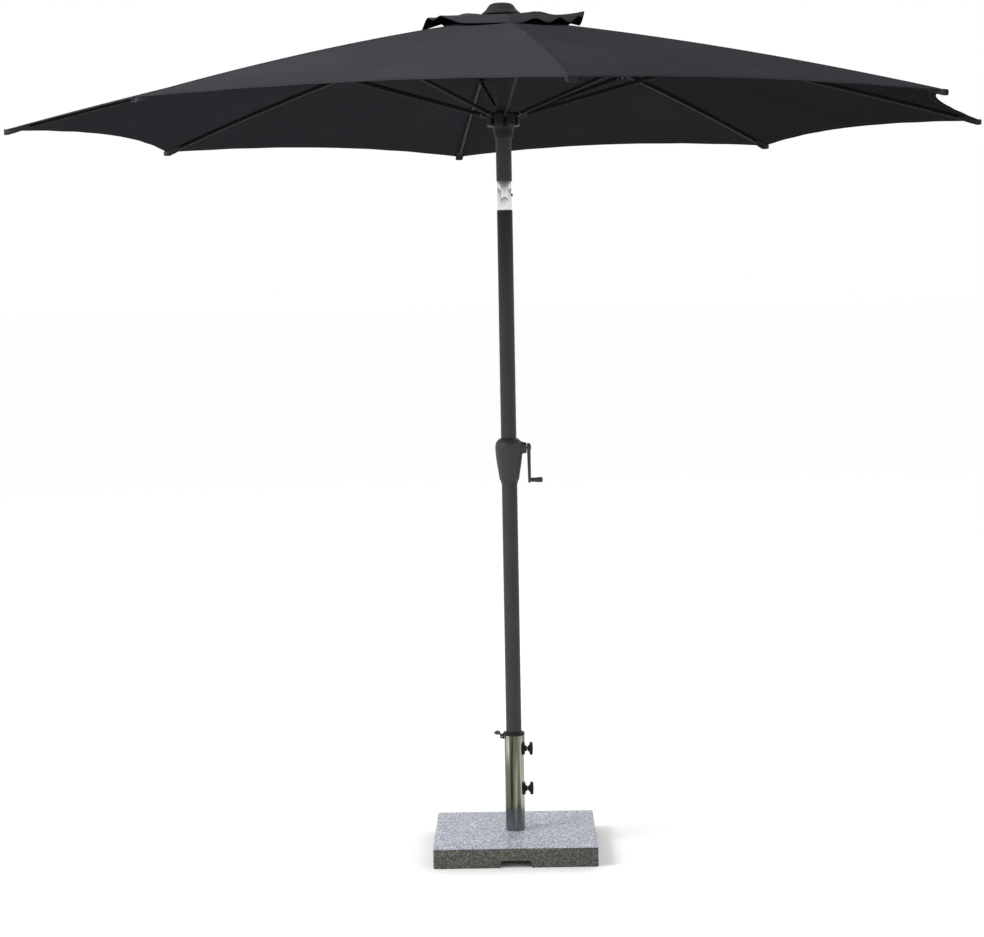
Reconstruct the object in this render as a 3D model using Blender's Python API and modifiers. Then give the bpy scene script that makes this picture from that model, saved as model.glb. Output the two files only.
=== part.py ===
"""Garden umbrella on a granite base: Blender 4.5 model in metres, +Z up.

The origin is on the ground under the pole. The slab's front edge faces -Y, and the crank, the clamp
knobs and the tilt button are on the +X side.
"""

import math

import bmesh
import bpy
from mathutils import Matrix, Vector

GAP = 0.0003
SIDES = 24

# Base
SLAB_SIDE = 0.500
SLAB_HEIGHT = 0.060
NOTCH_WIDTH = 0.097
NOTCH_HEIGHT = 0.022
NOTCH_DEPTH = 0.060
BOLT_RADIUS = 0.006
BOLT_HEAD_RADIUS = 0.012
BOLT_POCKET_RADIUS = 0.022
BOLT_POCKET_DEPTH = 0.018
TUBE_RADIUS = 0.030
TUBE_WALL = 0.002
TUBE_TOP = 0.360
TUBE_PLUG_HEIGHT = 0.008
COLLAR_RIM_RADIUS = 0.0335
COLLAR_SLEEVE_DEPTH = 0.060
LEVER_PIVOT = Vector((-0.0375, 0.0, 0.356))
LEVER_THICKNESS = 0.007
LEVER_EYE_RADIUS = 0.0048
LEVER_PIN_RADIUS = 0.0018
LEVER_END = (-0.013, 0.013)
LEVER_END_RADIUS = 0.0085
COLLAR_TAB_WIDTH = 0.012
COLLAR_TAB_BOTTOM = 0.3345
LUG_RADIUS = 0.0065
LUG_THICKNESS = 0.003
LUG_OFFSET = 0.0055
SCREW_HOLE_RADIUS = 0.0055
KNOB_HEIGHTS = {"lower": 0.190, "upper": 0.316}
KNOB_RADIUS = 0.0205
KNOB_PAD_HEIGHT = 0.035
KNOB_SCREW_RADIUS = 0.004

# Pole
POLE_RADIUS = 0.024
POLE_WALL = 0.0015
POLE_FOOT = SLAB_HEIGHT + 0.015
POLE_JOINT = 1.155
SPIGOT_RADIUS = POLE_RADIUS - POLE_WALL - GAP
SPIGOT_LENGTH = 0.060
POLE_BORE = POLE_RADIUS + GAP

# Crank
CRANK_HEIGHT = 1.258
HOUSING_TOP = 1.285
HOUSING_BOTTOM = 1.149
HOUSING_WALL = 0.0025
HOUSING_BOSS_RADIUS = 0.016
HOUSING_BOSS_END = 0.0550
SHAFT_RADIUS = 0.004
SHAFT_HOLE_RADIUS = 0.0045
ARM_LENGTH = 0.100
ARM_THICKNESS = 0.011
GRIP_RADIUS = 0.0075
GRIP_LENGTH = 0.036

# Tilt joint
TILT_BOTTOM = 1.990
TILT_HEIGHT = 2.036
TILT_TOP = 2.078
TILT_RADIUS = 0.02175
TILT_ROUNDING = TILT_RADIUS + 0.0004
TILT_SHOULDER = TILT_ROUNDING + 0.0004
TONGUE_HALF_WIDTH = 0.0110
TILT_PIN_RADIUS = 0.004
BUTTON_RADIUS = 0.0045
FORK_BORE_RADIUS = 0.012

# Top of the umbrella
CROWN_RADIUS = 0.052
CROWN_TOP = 2.572
CROWN_UNDERSIDE = 2.544
CROWN_SLEEVE_BOTTOM = 2.513
POLE_TOP = 2.543
PULLEY_HEIGHT = 2.528
FINIAL_BOTTOM = 2.5865
FINIAL_TOP = 2.618
VENT_RADIUS = 0.250
VENT_TOP = 2.5835
VENT_EDGE = 2.553
CLOTH = 0.0015

# Runner
RUNNER_TOP = 2.286
RUNNER_FLANGE_BOTTOM = 2.245
RUNNER_BOTTOM = 2.211
RUNNER_RADIUS = 0.052

# Ribs and struts
RIBS = 8
RIB_TURN = math.radians(6.5 - 90.0)
RIB_HINGE_RADIUS = 0.040
RIB_HINGE_HEIGHT = 2.558
RIB_TIP_RADIUS = 1.488
RIB_DROP = 0.313
RIB_BOW = 0.018
RIB_WIDTH = 0.010
RIB_HEIGHT = 0.014
SLOT_WIDTH = RIB_WIDTH + 0.001
SLOT_START = 0.034
SLOT_END = 0.080
EYE_RADIUS = 0.0055
RING_WIRE = 0.0012
BRACKET_RADIUS = 0.620
BRACKET_DROP = 0.016
STRUT_WIDTH = 0.008
STRUT_HEIGHT = 0.012
STRUT_EYE_RADIUS = 0.0055
STRUT_FOOT_RADIUS = 0.045
STRUT_FOOT_HEIGHT = 2.275
PIN_RADIUS = 0.002

# Canopy
CANOPY_RADIUS = 1.500
CANOPY_START = 0.058
HEM_HOLLOW = 0.070

COLOURS = {
    "granite": ((0.36, 0.38, 0.41), 0.45, 0.0),
    "stainless": ((0.55, 0.56, 0.52), 0.18, 1.0),
    "black_plastic": ((0.02, 0.02, 0.02), 0.45, 0.0),
    "steel": ((0.50, 0.50, 0.50), 0.35, 1.0),
    "pole_paint": ((0.045, 0.045, 0.048), 0.40, 0.2),
    "rib_paint": ((0.012, 0.012, 0.013), 0.45, 0.1),
    "silver": ((0.65, 0.66, 0.67), 0.30, 1.0),
    "housing_plastic": ((0.050, 0.050, 0.053), 0.42, 0.0),
    "canopy_cloth": ((0.062, 0.060, 0.066), 0.90, 0.0),
}


def clear_scene():
    for thing in list(bpy.data.objects):
        bpy.data.objects.remove(thing, do_unlink=True)


def new_collection(name):
    collection = bpy.data.collections.new(name)
    bpy.context.scene.collection.children.link(collection)
    return collection


clear_scene()
PARTS = new_collection("patio_umbrella")
CUTTERS = new_collection("cutters")


def material(name):
    found = bpy.data.materials.get(name)
    if found:
        return found
    colour, roughness, metallic = COLOURS[name]
    made = bpy.data.materials.new(name)
    made.use_nodes = True
    shader = made.node_tree.nodes["Principled BSDF"]
    shader.inputs["Base Color"].default_value = (*colour, 1.0)
    shader.inputs["Roughness"].default_value = roughness
    shader.inputs["Metallic"].default_value = metallic
    return made


def place(name, mesh, finish, location=(0, 0, 0), rotation=(0, 0, 0)):
    """Adds a named part with its material; a part with no finish is a cutter."""
    piece = bpy.data.objects.new(name, mesh)
    piece.location = location
    piece.rotation_euler = rotation
    if finish is None:
        CUTTERS.objects.link(piece)
        piece.display_type = "WIRE"
        piece.hide_render = True
    else:
        PARTS.objects.link(piece)
        mesh.materials.clear()
        mesh.materials.append(material(finish))
    return piece


def box_mesh(name, low, high):
    low, high = Vector(low), Vector(high)
    built = bmesh.new()
    bmesh.ops.create_cube(built, size=1.0)
    bmesh.ops.scale(built, vec=high - low, verts=built.verts)
    bmesh.ops.translate(built, vec=(low + high) / 2, verts=built.verts)
    mesh = bpy.data.meshes.new(name)
    built.to_mesh(mesh)
    built.free()
    return mesh


def box_cutter(name, low, high, location=(0, 0, 0), rotation=(0, 0, 0)):
    return place(name, box_mesh(name, low, high), None, location, rotation)


def rod_cutter(name, radius, start, end, sides=16):
    """A cylinder between two points, used to cut or join."""
    start, end = Vector(start), Vector(end)
    built = bmesh.new()
    bmesh.ops.create_cone(
        built,
        cap_ends=True,
        segments=sides,
        radius1=radius,
        radius2=radius,
        depth=(end - start).length,
    )
    turn = (end - start).to_track_quat("Z", "Y").to_matrix().to_4x4()
    bmesh.ops.transform(
        built, matrix=Matrix.Translation((start + end) / 2) @ turn, verts=built.verts
    )
    mesh = bpy.data.meshes.new(name)
    built.to_mesh(mesh)
    built.free()
    return place(name, mesh, None)


def turned(name, profile, finish, location=(0, 0, 0), along_x=False, closed=False, steps=SIDES):
    """Screws a profile of (radius, height) points, listed down the outer side from the top."""
    mesh = bpy.data.meshes.new(name)
    points = [(radius, 0.0, height) for radius, height in profile]
    edges = [(i, i + 1) for i in range(len(points) - 1)]
    if closed:
        edges.append((len(points) - 1, 0))
    mesh.from_pydata(points, edges, [])
    rotation = (0.0, math.pi / 2, 0.0) if along_x else (0.0, 0.0, 0.0)
    piece = place(name, mesh, finish, location, rotation)
    screw = piece.modifiers.new("turn", "SCREW")
    screw.steps = steps
    screw.render_steps = steps
    screw.use_merge_vertices = True
    screw.merge_threshold = 0.00001
    screw.use_normal_calculate = False
    return piece


def tube(name, outer, inner, bottom, top, finish):
    profile = [(outer, top), (outer, bottom), (inner, bottom), (inner, top)]
    return turned(name, profile, finish, closed=True)


def plate(name, outline, holes, thickness, finish, location=(0, 0, 0), rotation=(0, 0, 0)):
    """A flat outline with round holes, extruded to a thickness about its own plane."""
    curve = bpy.data.curves.new(name, "CURVE")
    curve.dimensions = "2D"
    curve.fill_mode = "BOTH"
    curve.extrude = thickness / 2
    loops = [outline] + [
        arc(centre, radius, 0.0, 2 * math.pi, 8)[:-1] for centre, radius in holes
    ]
    for loop in loops:
        spline = curve.splines.new("POLY")
        spline.points.add(len(loop) - 1)
        for point, (x, y) in zip(spline.points, loop):
            point.co = (x, y, 0.0, 1.0)
        spline.use_cyclic_u = True
    flat = bpy.data.objects.new(name + "_outline", curve)
    PARTS.objects.link(flat)
    bpy.context.view_layer.update()
    graph = bpy.context.evaluated_depsgraph_get()
    mesh = bpy.data.meshes.new_from_object(flat.evaluated_get(graph))
    bpy.data.objects.remove(flat, do_unlink=True)
    built = bmesh.new()
    built.from_mesh(mesh)
    bmesh.ops.remove_doubles(built, verts=built.verts, dist=0.00001)
    bmesh.ops.recalc_face_normals(built, faces=built.faces)
    built.to_mesh(mesh)
    built.free()
    mesh.name = name
    return place(name, mesh, finish, location, rotation)


def arc(centre, radius, start, end, count):
    """Points on a circle from one angle to another, both ends included."""
    return [
        (
            centre[0] + radius * math.cos(start + (end - start) * i / count),
            centre[1] + radius * math.sin(start + (end - start) * i / count),
        )
        for i in range(count + 1)
    ]


def combine(piece, tool, operation="DIFFERENCE"):
    modifier = piece.modifiers.new(tool.name, "BOOLEAN")
    modifier.operation = operation
    modifier.object = tool
    return piece


def soften(piece, width, segments=2, angle=40):
    """Rounds the sharp edges of a piece."""
    bevel = piece.modifiers.new("rounded edges", "BEVEL")
    bevel.width = width
    bevel.segments = segments
    bevel.limit_method = "ANGLE"
    bevel.angle_limit = math.radians(angle)
    return piece


def smooth(piece):
    """Shades a round piece smooth where its faces meet at a shallow angle."""
    piece.data.shade_smooth()
    piece.data.set_sharp_from_angle(angle=math.radians(35))
    return piece


def make_slab():
    half = SLAB_SIDE / 2
    slab = place(
        "granite_slab",
        box_mesh("granite_slab", (-half, -half, 0), (half, half, SLAB_HEIGHT)),
        "granite",
    )
    soften(slab, 0.004, 2)
    for side, name in ((-1, "front_notch"), (1, "back_notch")):
        outline = [
            (-NOTCH_WIDTH / 2, -0.01),
            (NOTCH_WIDTH / 2, -0.01),
            (NOTCH_WIDTH / 2 - 0.003, NOTCH_HEIGHT - 0.006),
            (NOTCH_WIDTH / 2 - 0.010, NOTCH_HEIGHT),
            (-NOTCH_WIDTH / 2 + 0.010, NOTCH_HEIGHT),
            (-NOTCH_WIDTH / 2 + 0.003, NOTCH_HEIGHT - 0.006),
        ]
        notch = plate(
            name, outline, [], 2 * NOTCH_DEPTH, None, (0, side * half, 0), (math.pi / 2, 0, 0)
        )
        combine(slab, notch)
    combine(slab, rod_cutter("bolt_hole", 0.0075, (0, 0, -0.01), (0, 0, SLAB_HEIGHT + 0.01)))
    combine(
        slab,
        rod_cutter("bolt_pocket", BOLT_POCKET_RADIUS, (0, 0, -0.01), (0, 0, BOLT_POCKET_DEPTH)),
    )


def make_base_bolt():
    """A hexagon-headed bolt with a broad flange, from under the slab into the tube's plug."""
    top = SLAB_HEIGHT + TUBE_PLUG_HEIGHT + 0.004
    seat = BOLT_POCKET_DEPTH - GAP
    bolt = turned(
        "base_bolt",
        [
            (0, top),
            (BOLT_RADIUS - 0.001, top),
            (BOLT_RADIUS, top - 0.001),
            (BOLT_RADIUS, seat),
            (BOLT_POCKET_RADIUS - 0.002, seat),
            (BOLT_POCKET_RADIUS - 0.002, seat - 0.002),
            (BOLT_HEAD_RADIUS * 0.8, seat - 0.002),
            (BOLT_HEAD_RADIUS * 0.8, seat - 0.003),
            (0, seat - 0.003),
        ],
        "steel",
        steps=16,
    )
    head = rod_cutter("bolt_head", BOLT_HEAD_RADIUS, (0, 0, seat - 0.011), (0, 0, seat - 0.0015), 6)
    combine(bolt, head, "UNION")


def make_tube():
    body = tube(
        "base_tube",
        TUBE_RADIUS,
        TUBE_RADIUS - TUBE_WALL,
        SLAB_HEIGHT + GAP,
        TUBE_TOP,
        "stainless",
    )
    smooth(body)
    for name, height in KNOB_HEIGHTS.items():
        hole = rod_cutter(
            f"tube_hole_{name}", SCREW_HOLE_RADIUS, (0.015, 0, height), (0.045, 0, height)
        )
        combine(body, hole)
    low = SLAB_HEIGHT + GAP
    outer, inner = TUBE_RADIUS - TUBE_WALL - GAP, BOLT_RADIUS + GAP
    smooth(tube("tube_plug", outer, inner, low, low + TUBE_PLUG_HEIGHT, "steel"))


def make_collar():
    """The reducing collar in the tube's mouth, with a rim, a side tab and two lugs for the lever."""
    bore = POLE_RADIUS + 0.0008
    sleeve = TUBE_RADIUS - TUBE_WALL - GAP
    rim_bottom, rim_top = TUBE_TOP + GAP, TUBE_TOP + 0.009
    sleeve_bottom = TUBE_TOP - COLLAR_SLEEVE_DEPTH
    collar = turned(
        "tube_collar",
        [
            (bore + 0.001, rim_top),
            (COLLAR_RIM_RADIUS - 0.003, rim_top),
            (COLLAR_RIM_RADIUS, rim_top - 0.003),
            (COLLAR_RIM_RADIUS, rim_bottom),
            (sleeve, rim_bottom),
            (sleeve, sleeve_bottom),
            (bore, sleeve_bottom),
            (bore, rim_top - 0.001),
        ],
        "black_plastic",
        closed=True,
    )
    outside = TUBE_RADIUS + GAP
    tab_low = (outside, -COLLAR_TAB_WIDTH / 2, COLLAR_TAB_BOTTOM)
    tab_high = (outside + 0.003, COLLAR_TAB_WIDTH / 2, rim_bottom + 0.003)
    combine(collar, box_cutter("collar_tab", tab_low, tab_high), "UNION")
    lug_centre = (LEVER_PIVOT.x, LEVER_PIVOT.z)
    lug_outline = arc(lug_centre, LUG_RADIUS, math.radians(90), math.radians(270), 8) + [
        (-outside, LEVER_PIVOT.z - LUG_RADIUS),
        (-outside, rim_bottom),
        (-0.029, rim_bottom),
        (-0.029, LEVER_PIVOT.z + LUG_RADIUS),
    ]
    for side in (-1, 1):
        lug = plate(
            f"collar_lug_{side}",
            lug_outline,
            [],
            LUG_THICKNESS,
            None,
            (0, side * LUG_OFFSET, 0),
            (math.pi / 2, 0, 0),
        )
        combine(collar, lug, "UNION")
    to_lug = Vector((0, LUG_OFFSET, 0))
    pivot = rod_cutter(
        "lever_pin", LEVER_PIN_RADIUS, LEVER_PIVOT - to_lug, LEVER_PIVOT + to_lug, 12
    )
    combine(collar, pivot, "UNION")
    height = KNOB_HEIGHTS["upper"]
    hole = rod_cutter("collar_hole", SCREW_HOLE_RADIUS, (0.015, 0, height), (0.0295, 0, height))
    combine(collar, hole)


def make_lever():
    """A quick clamp lever: an eye between the collar's lugs, a curved neck and a rounded end."""
    plate(
        "collar_lever",
        arc((0, 0), LEVER_EYE_RADIUS, math.radians(60), math.radians(-140), 10)
        + arc(LEVER_END, LEVER_END_RADIUS, math.radians(230), math.radians(40), 14),
        [((0.0, 0.0), LEVER_PIN_RADIUS + GAP)],
        LEVER_THICKNESS,
        "black_plastic",
        LEVER_PIVOT,
        (math.pi / 2, 0, 0),
    )


def make_knobs():
    spread = math.radians(34)
    inner, outer = TUBE_RADIUS + GAP, TUBE_RADIUS + 0.0043
    for name, height in KNOB_HEIGHTS.items():
        outline = arc((0, 0), outer, -spread, spread, 6) + arc((0, 0), inner, spread, -spread, 6)
        pad = plate(
            f"knob_pad_{name}", outline, [], KNOB_PAD_HEIGHT, "black_plastic", (0, 0, height)
        )
        boss = rod_cutter(f"pad_boss_{name}", 0.0085, (0.0325, 0, height), (0.0400, 0, height))
        combine(pad, boss, "UNION")
        hole = rod_cutter(f"pad_hole_{name}", 0.0045, (0.025, 0, height), (0.045, 0, height))
        combine(pad, hole)
        screw, start = KNOB_SCREW_RADIUS, 0.0246
        knob = turned(
            f"clamp_knob_{name}",
            [
                (0, 0.0590),
                (KNOB_RADIUS - 0.006, 0.0590),
                (KNOB_RADIUS - 0.002, 0.0575),
                (KNOB_RADIUS, 0.0555),
                (KNOB_RADIUS, 0.0500),
                (KNOB_RADIUS - 0.002, 0.0482),
                (0.0130, 0.0480),
                (0.0080, 0.0440),
                (0.0070, 0.0410),
                (screw, 0.0410),
                (screw, start + 0.001),
                (screw - 0.001, start),
                (0, start),
            ],
            "black_plastic",
            (0, 0, height),
            along_x=True,
            steps=20,
        )
        smooth(knob)


def make_poles():
    inner = POLE_RADIUS - POLE_WALL
    lower = tube("lower_pole", POLE_RADIUS, inner, POLE_FOOT, POLE_JOINT, "pole_paint")
    smooth(lower)
    middle = turned(
        "middle_pole",
        [
            (POLE_RADIUS, TILT_BOTTOM - GAP),
            (POLE_RADIUS, POLE_JOINT + GAP),
            (SPIGOT_RADIUS, POLE_JOINT + GAP),
            (SPIGOT_RADIUS, POLE_JOINT - SPIGOT_LENGTH),
            (SPIGOT_RADIUS - 0.0015, POLE_JOINT - SPIGOT_LENGTH),
            (SPIGOT_RADIUS - 0.0015, POLE_JOINT + 0.004),
            (inner, POLE_JOINT + 0.008),
            (inner, TILT_BOTTOM - GAP),
        ],
        "pole_paint",
        closed=True,
    )
    smooth(middle)
    hole = rod_cutter("pole_shaft_hole", 0.006, (-0.04, 0, CRANK_HEIGHT), (0.04, 0, CRANK_HEIGHT))
    combine(middle, hole)
    upper = tube("upper_pole", POLE_RADIUS, inner, TILT_TOP + GAP, POLE_TOP, "pole_paint")
    smooth(upper)
    axle_hole = rod_cutter(
        "pulley_axle_hole", 0.0035, (-0.04, 0, PULLEY_HEIGHT), (0.04, 0, PULLEY_HEIGHT)
    )
    combine(upper, axle_hole)


def housing_profile(inset):
    """The crank housing's outline from its top lip to its stepped lower lip."""
    shape = [
        (0.0280, HOUSING_TOP),
        (0.0350, HOUSING_TOP - 0.003),
        (0.0405, HOUSING_TOP - 0.011),
        (0.0425, HOUSING_TOP - 0.021),
        (0.0425, HOUSING_TOP - 0.034),
        (0.0405, HOUSING_TOP - 0.060),
        (0.0370, HOUSING_TOP - 0.085),
        (0.0325, HOUSING_TOP - 0.108),
        (0.0300, HOUSING_TOP - 0.126),
        (0.0270, HOUSING_TOP - 0.127),
        (0.0265, HOUSING_BOTTOM),
    ]
    if inset:
        shape = [(r - inset, z) for r, z in shape[1:-3]]
    return [(0.0, shape[0][1] - inset)] + [
        (r, min(z, HOUSING_TOP - inset)) for r, z in shape
    ] + [(0.0, shape[-1][1])]


def make_crank_housing():
    for side, name in ((-1, "crank_housing_front"), (1, "crank_housing_back")):
        shell = turned(name, housing_profile(0.0), "housing_plastic")
        smooth(shell)
        boss = rod_cutter(
            f"{name}_boss",
            HOUSING_BOSS_RADIUS,
            (0.030, 0, CRANK_HEIGHT),
            (HOUSING_BOSS_END, 0, CRANK_HEIGHT),
        )
        combine(shell, boss, "UNION")
        hollow = turned(f"{name}_hollow", housing_profile(HOUSING_WALL), None)
        combine(shell, hollow)
        bore = rod_cutter(f"{name}_bore", POLE_BORE, (0, 0, 1.10), (0, 0, 1.35), SIDES)
        combine(shell, bore)
        shaft = rod_cutter(
            f"{name}_shaft", SHAFT_HOLE_RADIUS, (0.01, 0, CRANK_HEIGHT), (0.07, 0, CRANK_HEIGHT)
        )
        combine(shell, shaft)
        near, far = sorted((-side * 0.1, side * GAP / 2))
        other_half = box_cutter(f"{name}_other_half", (-0.1, near, 1.1), (0.1, far, 1.35))
        combine(shell, other_half)


def make_crank():
    smooth(
        turned(
            "winding_spool",
            [
                (0, 0.0640),
                (SHAFT_RADIUS, 0.0640),
                (SHAFT_RADIUS, 0.0110),
                (0.0160, 0.0110),
                (0.0160, 0.0090),
                (0.0090, 0.0080),
                (0.0090, -0.0080),
                (0.0160, -0.0090),
                (0.0160, -0.0110),
                (SHAFT_RADIUS, -0.0110),
                (SHAFT_RADIUS, -0.0300),
                (0, -0.0300),
            ],
            "steel",
            (0, 0, CRANK_HEIGHT),
            along_x=True,
            steps=16,
        )
    )
    start = HOUSING_BOSS_END + 0.0008
    eye = arc((0, 0), 0.0140, math.radians(10), math.radians(170), 10)
    foot = arc((0, -ARM_LENGTH), 0.0080, math.radians(190), math.radians(350), 8)
    arm = plate(
        "crank_arm",
        eye + foot,
        [((0, 0), SHAFT_HOLE_RADIUS)],
        ARM_THICKNESS,
        "housing_plastic",
        (start + ARM_THICKNESS / 2, 0, CRANK_HEIGHT),
        (math.pi / 2, 0, math.pi / 2),
    )
    soften(arm, 0.0015, 1)
    foot_height = CRANK_HEIGHT - ARM_LENGTH
    pin_end = start + ARM_THICKNESS + GRIP_LENGTH - 0.002
    pin = rod_cutter(
        "grip_pin", 0.0035, (start + 0.004, 0, foot_height), (pin_end, 0, foot_height), 16
    )
    combine(arm, pin, "UNION")
    grip_start = start + ARM_THICKNESS + 0.0005
    smooth(
        turned(
            "crank_grip",
            [
                (0, grip_start + GRIP_LENGTH),
                (GRIP_RADIUS - 0.002, grip_start + GRIP_LENGTH),
                (GRIP_RADIUS, grip_start + GRIP_LENGTH - 0.003),
                (GRIP_RADIUS - 0.0008, grip_start + GRIP_LENGTH * 0.5),
                (GRIP_RADIUS, grip_start + 0.003),
                (GRIP_RADIUS - 0.001, grip_start),
                (0.0039, grip_start),
                (0.0039, grip_start + GRIP_LENGTH - 0.002),
                (0, grip_start + GRIP_LENGTH - 0.002),
            ],
            "housing_plastic",
            (0, 0, foot_height),
            along_x=True,
            steps=16,
        )
    )


def make_tilt():
    """A fork below and a tongue above, rounded about a cross pin so that the top leans over."""
    width = TONGUE_HALF_WIDTH
    axis_low, axis_high = (-0.05, 0, TILT_HEIGHT), (0.05, 0, TILT_HEIGHT)
    socket = turned(
        "tilt_socket",
        [
            (0, TILT_HEIGHT + TILT_RADIUS),
            (TILT_RADIUS, TILT_HEIGHT + TILT_RADIUS),
            (TILT_RADIUS, TILT_BOTTOM),
            (SPIGOT_RADIUS - 0.0005, TILT_BOTTOM),
            (SPIGOT_RADIUS - 0.0005, TILT_BOTTOM - 0.040),
            (0, TILT_BOTTOM - 0.040),
        ],
        "silver",
    )
    smooth(socket)
    keep = rod_cutter("fork_rounding", TILT_ROUNDING, axis_low, axis_high, 46)
    below = box_cutter("fork_below", (-0.04, -0.04, TILT_BOTTOM - 0.1), (0.04, 0.04, TILT_HEIGHT))
    combine(keep, below, "UNION")
    combine(socket, keep, "INTERSECT")
    reach = width + GAP
    throat = rod_cutter(
        "fork_throat", TILT_SHOULDER, (-reach, 0, TILT_HEIGHT), (reach, 0, TILT_HEIGHT), 48
    )
    above = box_cutter("fork_slot", (-reach, -0.04, TILT_HEIGHT), (reach, 0.04, TILT_TOP + 0.02))
    combine(throat, above, "UNION")
    combine(socket, throat)
    pin_hole = rod_cutter(
        "fork_pin_hole", TILT_PIN_RADIUS + GAP, axis_low, (0.015, 0, TILT_HEIGHT)
    )
    button_hole = rod_cutter(
        "fork_button_hole", BUTTON_RADIUS + GAP, (0.010, 0, TILT_HEIGHT), axis_high
    )
    combine(socket, pin_hole)
    combine(socket, button_hole)
    bore_low, bore_high = (0, 0, TILT_BOTTOM - 0.06), (0, 0, TILT_HEIGHT - 0.03)
    combine(socket, rod_cutter("fork_bore", FORK_BORE_RADIUS, bore_low, bore_high))

    knuckle = turned(
        "tilt_knuckle",
        [
            (0, TILT_TOP + 0.040),
            (SPIGOT_RADIUS - 0.0005, TILT_TOP + 0.040),
            (SPIGOT_RADIUS - 0.0005, TILT_TOP),
            (TILT_RADIUS, TILT_TOP),
            (TILT_RADIUS, TILT_HEIGHT - TILT_RADIUS),
            (0, TILT_HEIGHT - TILT_RADIUS),
        ],
        "silver",
    )
    smooth(knuckle)
    round_end = rod_cutter("tongue_rounding", TILT_ROUNDING, axis_low, axis_high, 46)
    over = box_cutter("tongue_above", (-0.04, -0.04, TILT_HEIGHT), (0.04, 0.04, TILT_TOP + 0.1))
    combine(round_end, over, "UNION")
    combine(knuckle, round_end, "INTERSECT")
    for side in (-1, 1):
        shoulder = rod_cutter(
            f"tongue_side_{side}",
            TILT_SHOULDER,
            (side * width, 0, TILT_HEIGHT),
            (side * 0.05, 0, TILT_HEIGHT),
            48,
        )
        low, high = sorted((side * width, side * 0.05))
        under = box_cutter(
            f"tongue_under_{side}", (low, -0.04, TILT_HEIGHT - 0.04), (high, 0.04, TILT_HEIGHT)
        )
        combine(shoulder, under, "UNION")
        combine(knuckle, shoulder)
    tongue_hole = rod_cutter("tongue_pin_hole", TILT_PIN_RADIUS + GAP, axis_low, axis_high)
    combine(knuckle, tongue_hole)
    smooth(
        turned(
            "tilt_pin",
            [
                (0, 0.0100),
                (TILT_PIN_RADIUS, 0.0100),
                (TILT_PIN_RADIUS, -0.0205),
                (TILT_PIN_RADIUS - 0.001, -0.0212),
                (0, -0.0212),
            ],
            "steel",
            (0, 0, TILT_HEIGHT),
            along_x=True,
            steps=16,
        )
    )
    smooth(
        turned(
            "tilt_button",
            [
                (0, 0.0255),
                (BUTTON_RADIUS - 0.0015, 0.0252),
                (BUTTON_RADIUS, 0.0240),
                (BUTTON_RADIUS, 0.0143),
                (0, 0.0143),
            ],
            "black_plastic",
            (0, 0, TILT_HEIGHT),
            along_x=True,
            steps=16,
        )
    )


def rib_angles():
    return [RIB_TURN + i * 2 * math.pi / RIBS for i in range(RIBS)]


def cut_rib_slots(piece, name, low, high):
    """Cuts one radial slot for each rib, open at the rim and through the whole height."""
    for i, angle in enumerate(rib_angles()):
        half = SLOT_WIDTH / 2
        near, far = (SLOT_START, -half, low), (SLOT_END, half, high)
        slot = box_cutter(f"{name}_slot_{i + 1}", near, far, (0, 0, 0), (0, 0, angle))
        combine(piece, slot)


def make_crown():
    profile = [
        (0, CROWN_TOP - 0.008),
        (0.0065, CROWN_TOP - 0.008),
        (0.0065, CROWN_TOP),
        (CROWN_RADIUS - 0.002, CROWN_TOP),
        (CROWN_RADIUS, CROWN_TOP - 0.002),
        (CROWN_RADIUS, CROWN_UNDERSIDE),
        (0.0310, CROWN_UNDERSIDE),
        (0.0290, CROWN_SLEEVE_BOTTOM),
        (POLE_BORE, CROWN_SLEEVE_BOTTOM),
        (POLE_BORE, POLE_TOP + GAP),
        (0, POLE_TOP + GAP),
    ]
    crown = turned("crown", profile, "black_plastic")
    cut_rib_slots(crown, "crown", CROWN_UNDERSIDE - 0.01, CROWN_TOP + 0.01)
    combine(crown, ring_mesh("crown_ring_groove", RING_WIRE + 0.0005, None))
    ring_mesh("crown_ring", RING_WIRE, "steel")


def ring_mesh(name, wire, finish):
    """The wire ring on which all the ribs hinge."""
    profile = arc((RIB_HINGE_RADIUS, 0), wire, math.pi / 2, -3 * math.pi / 2, 6)[:-1]
    return turned(name, profile, finish, (0, 0, RIB_HINGE_HEIGHT), closed=True, steps=32)


def make_pulley():
    smooth(
        turned(
            "crown_pulley",
            [
                (0, 0.0238),
                (0.0030, 0.0238),
                (0.0030, 0.0045),
                (0.0130, 0.0045),
                (0.0100, 0.0),
                (0.0130, -0.0045),
                (0.0030, -0.0045),
                (0.0030, -0.0238),
                (0, -0.0238),
            ],
            "black_plastic",
            (0, 0, PULLEY_HEIGHT),
            along_x=True,
            steps=16,
        )
    )


def make_finial():
    smooth(
        turned(
            "finial",
            [
                (0, FINIAL_TOP),
                (0.0300, FINIAL_TOP),
                (0.0330, FINIAL_TOP - 0.002),
                (0.0355, FINIAL_TOP - 0.012),
                (0.0430, FINIAL_TOP - 0.022),
                (0.0560, FINIAL_TOP - 0.028),
                (0.0600, FINIAL_BOTTOM + 0.001),
                (0.0590, FINIAL_BOTTOM),
                (0.0060, FINIAL_BOTTOM),
                (0.0060, CROWN_TOP - 0.0075),
                (0, CROWN_TOP - 0.0075),
            ],
            "black_plastic",
        )
    )


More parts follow.
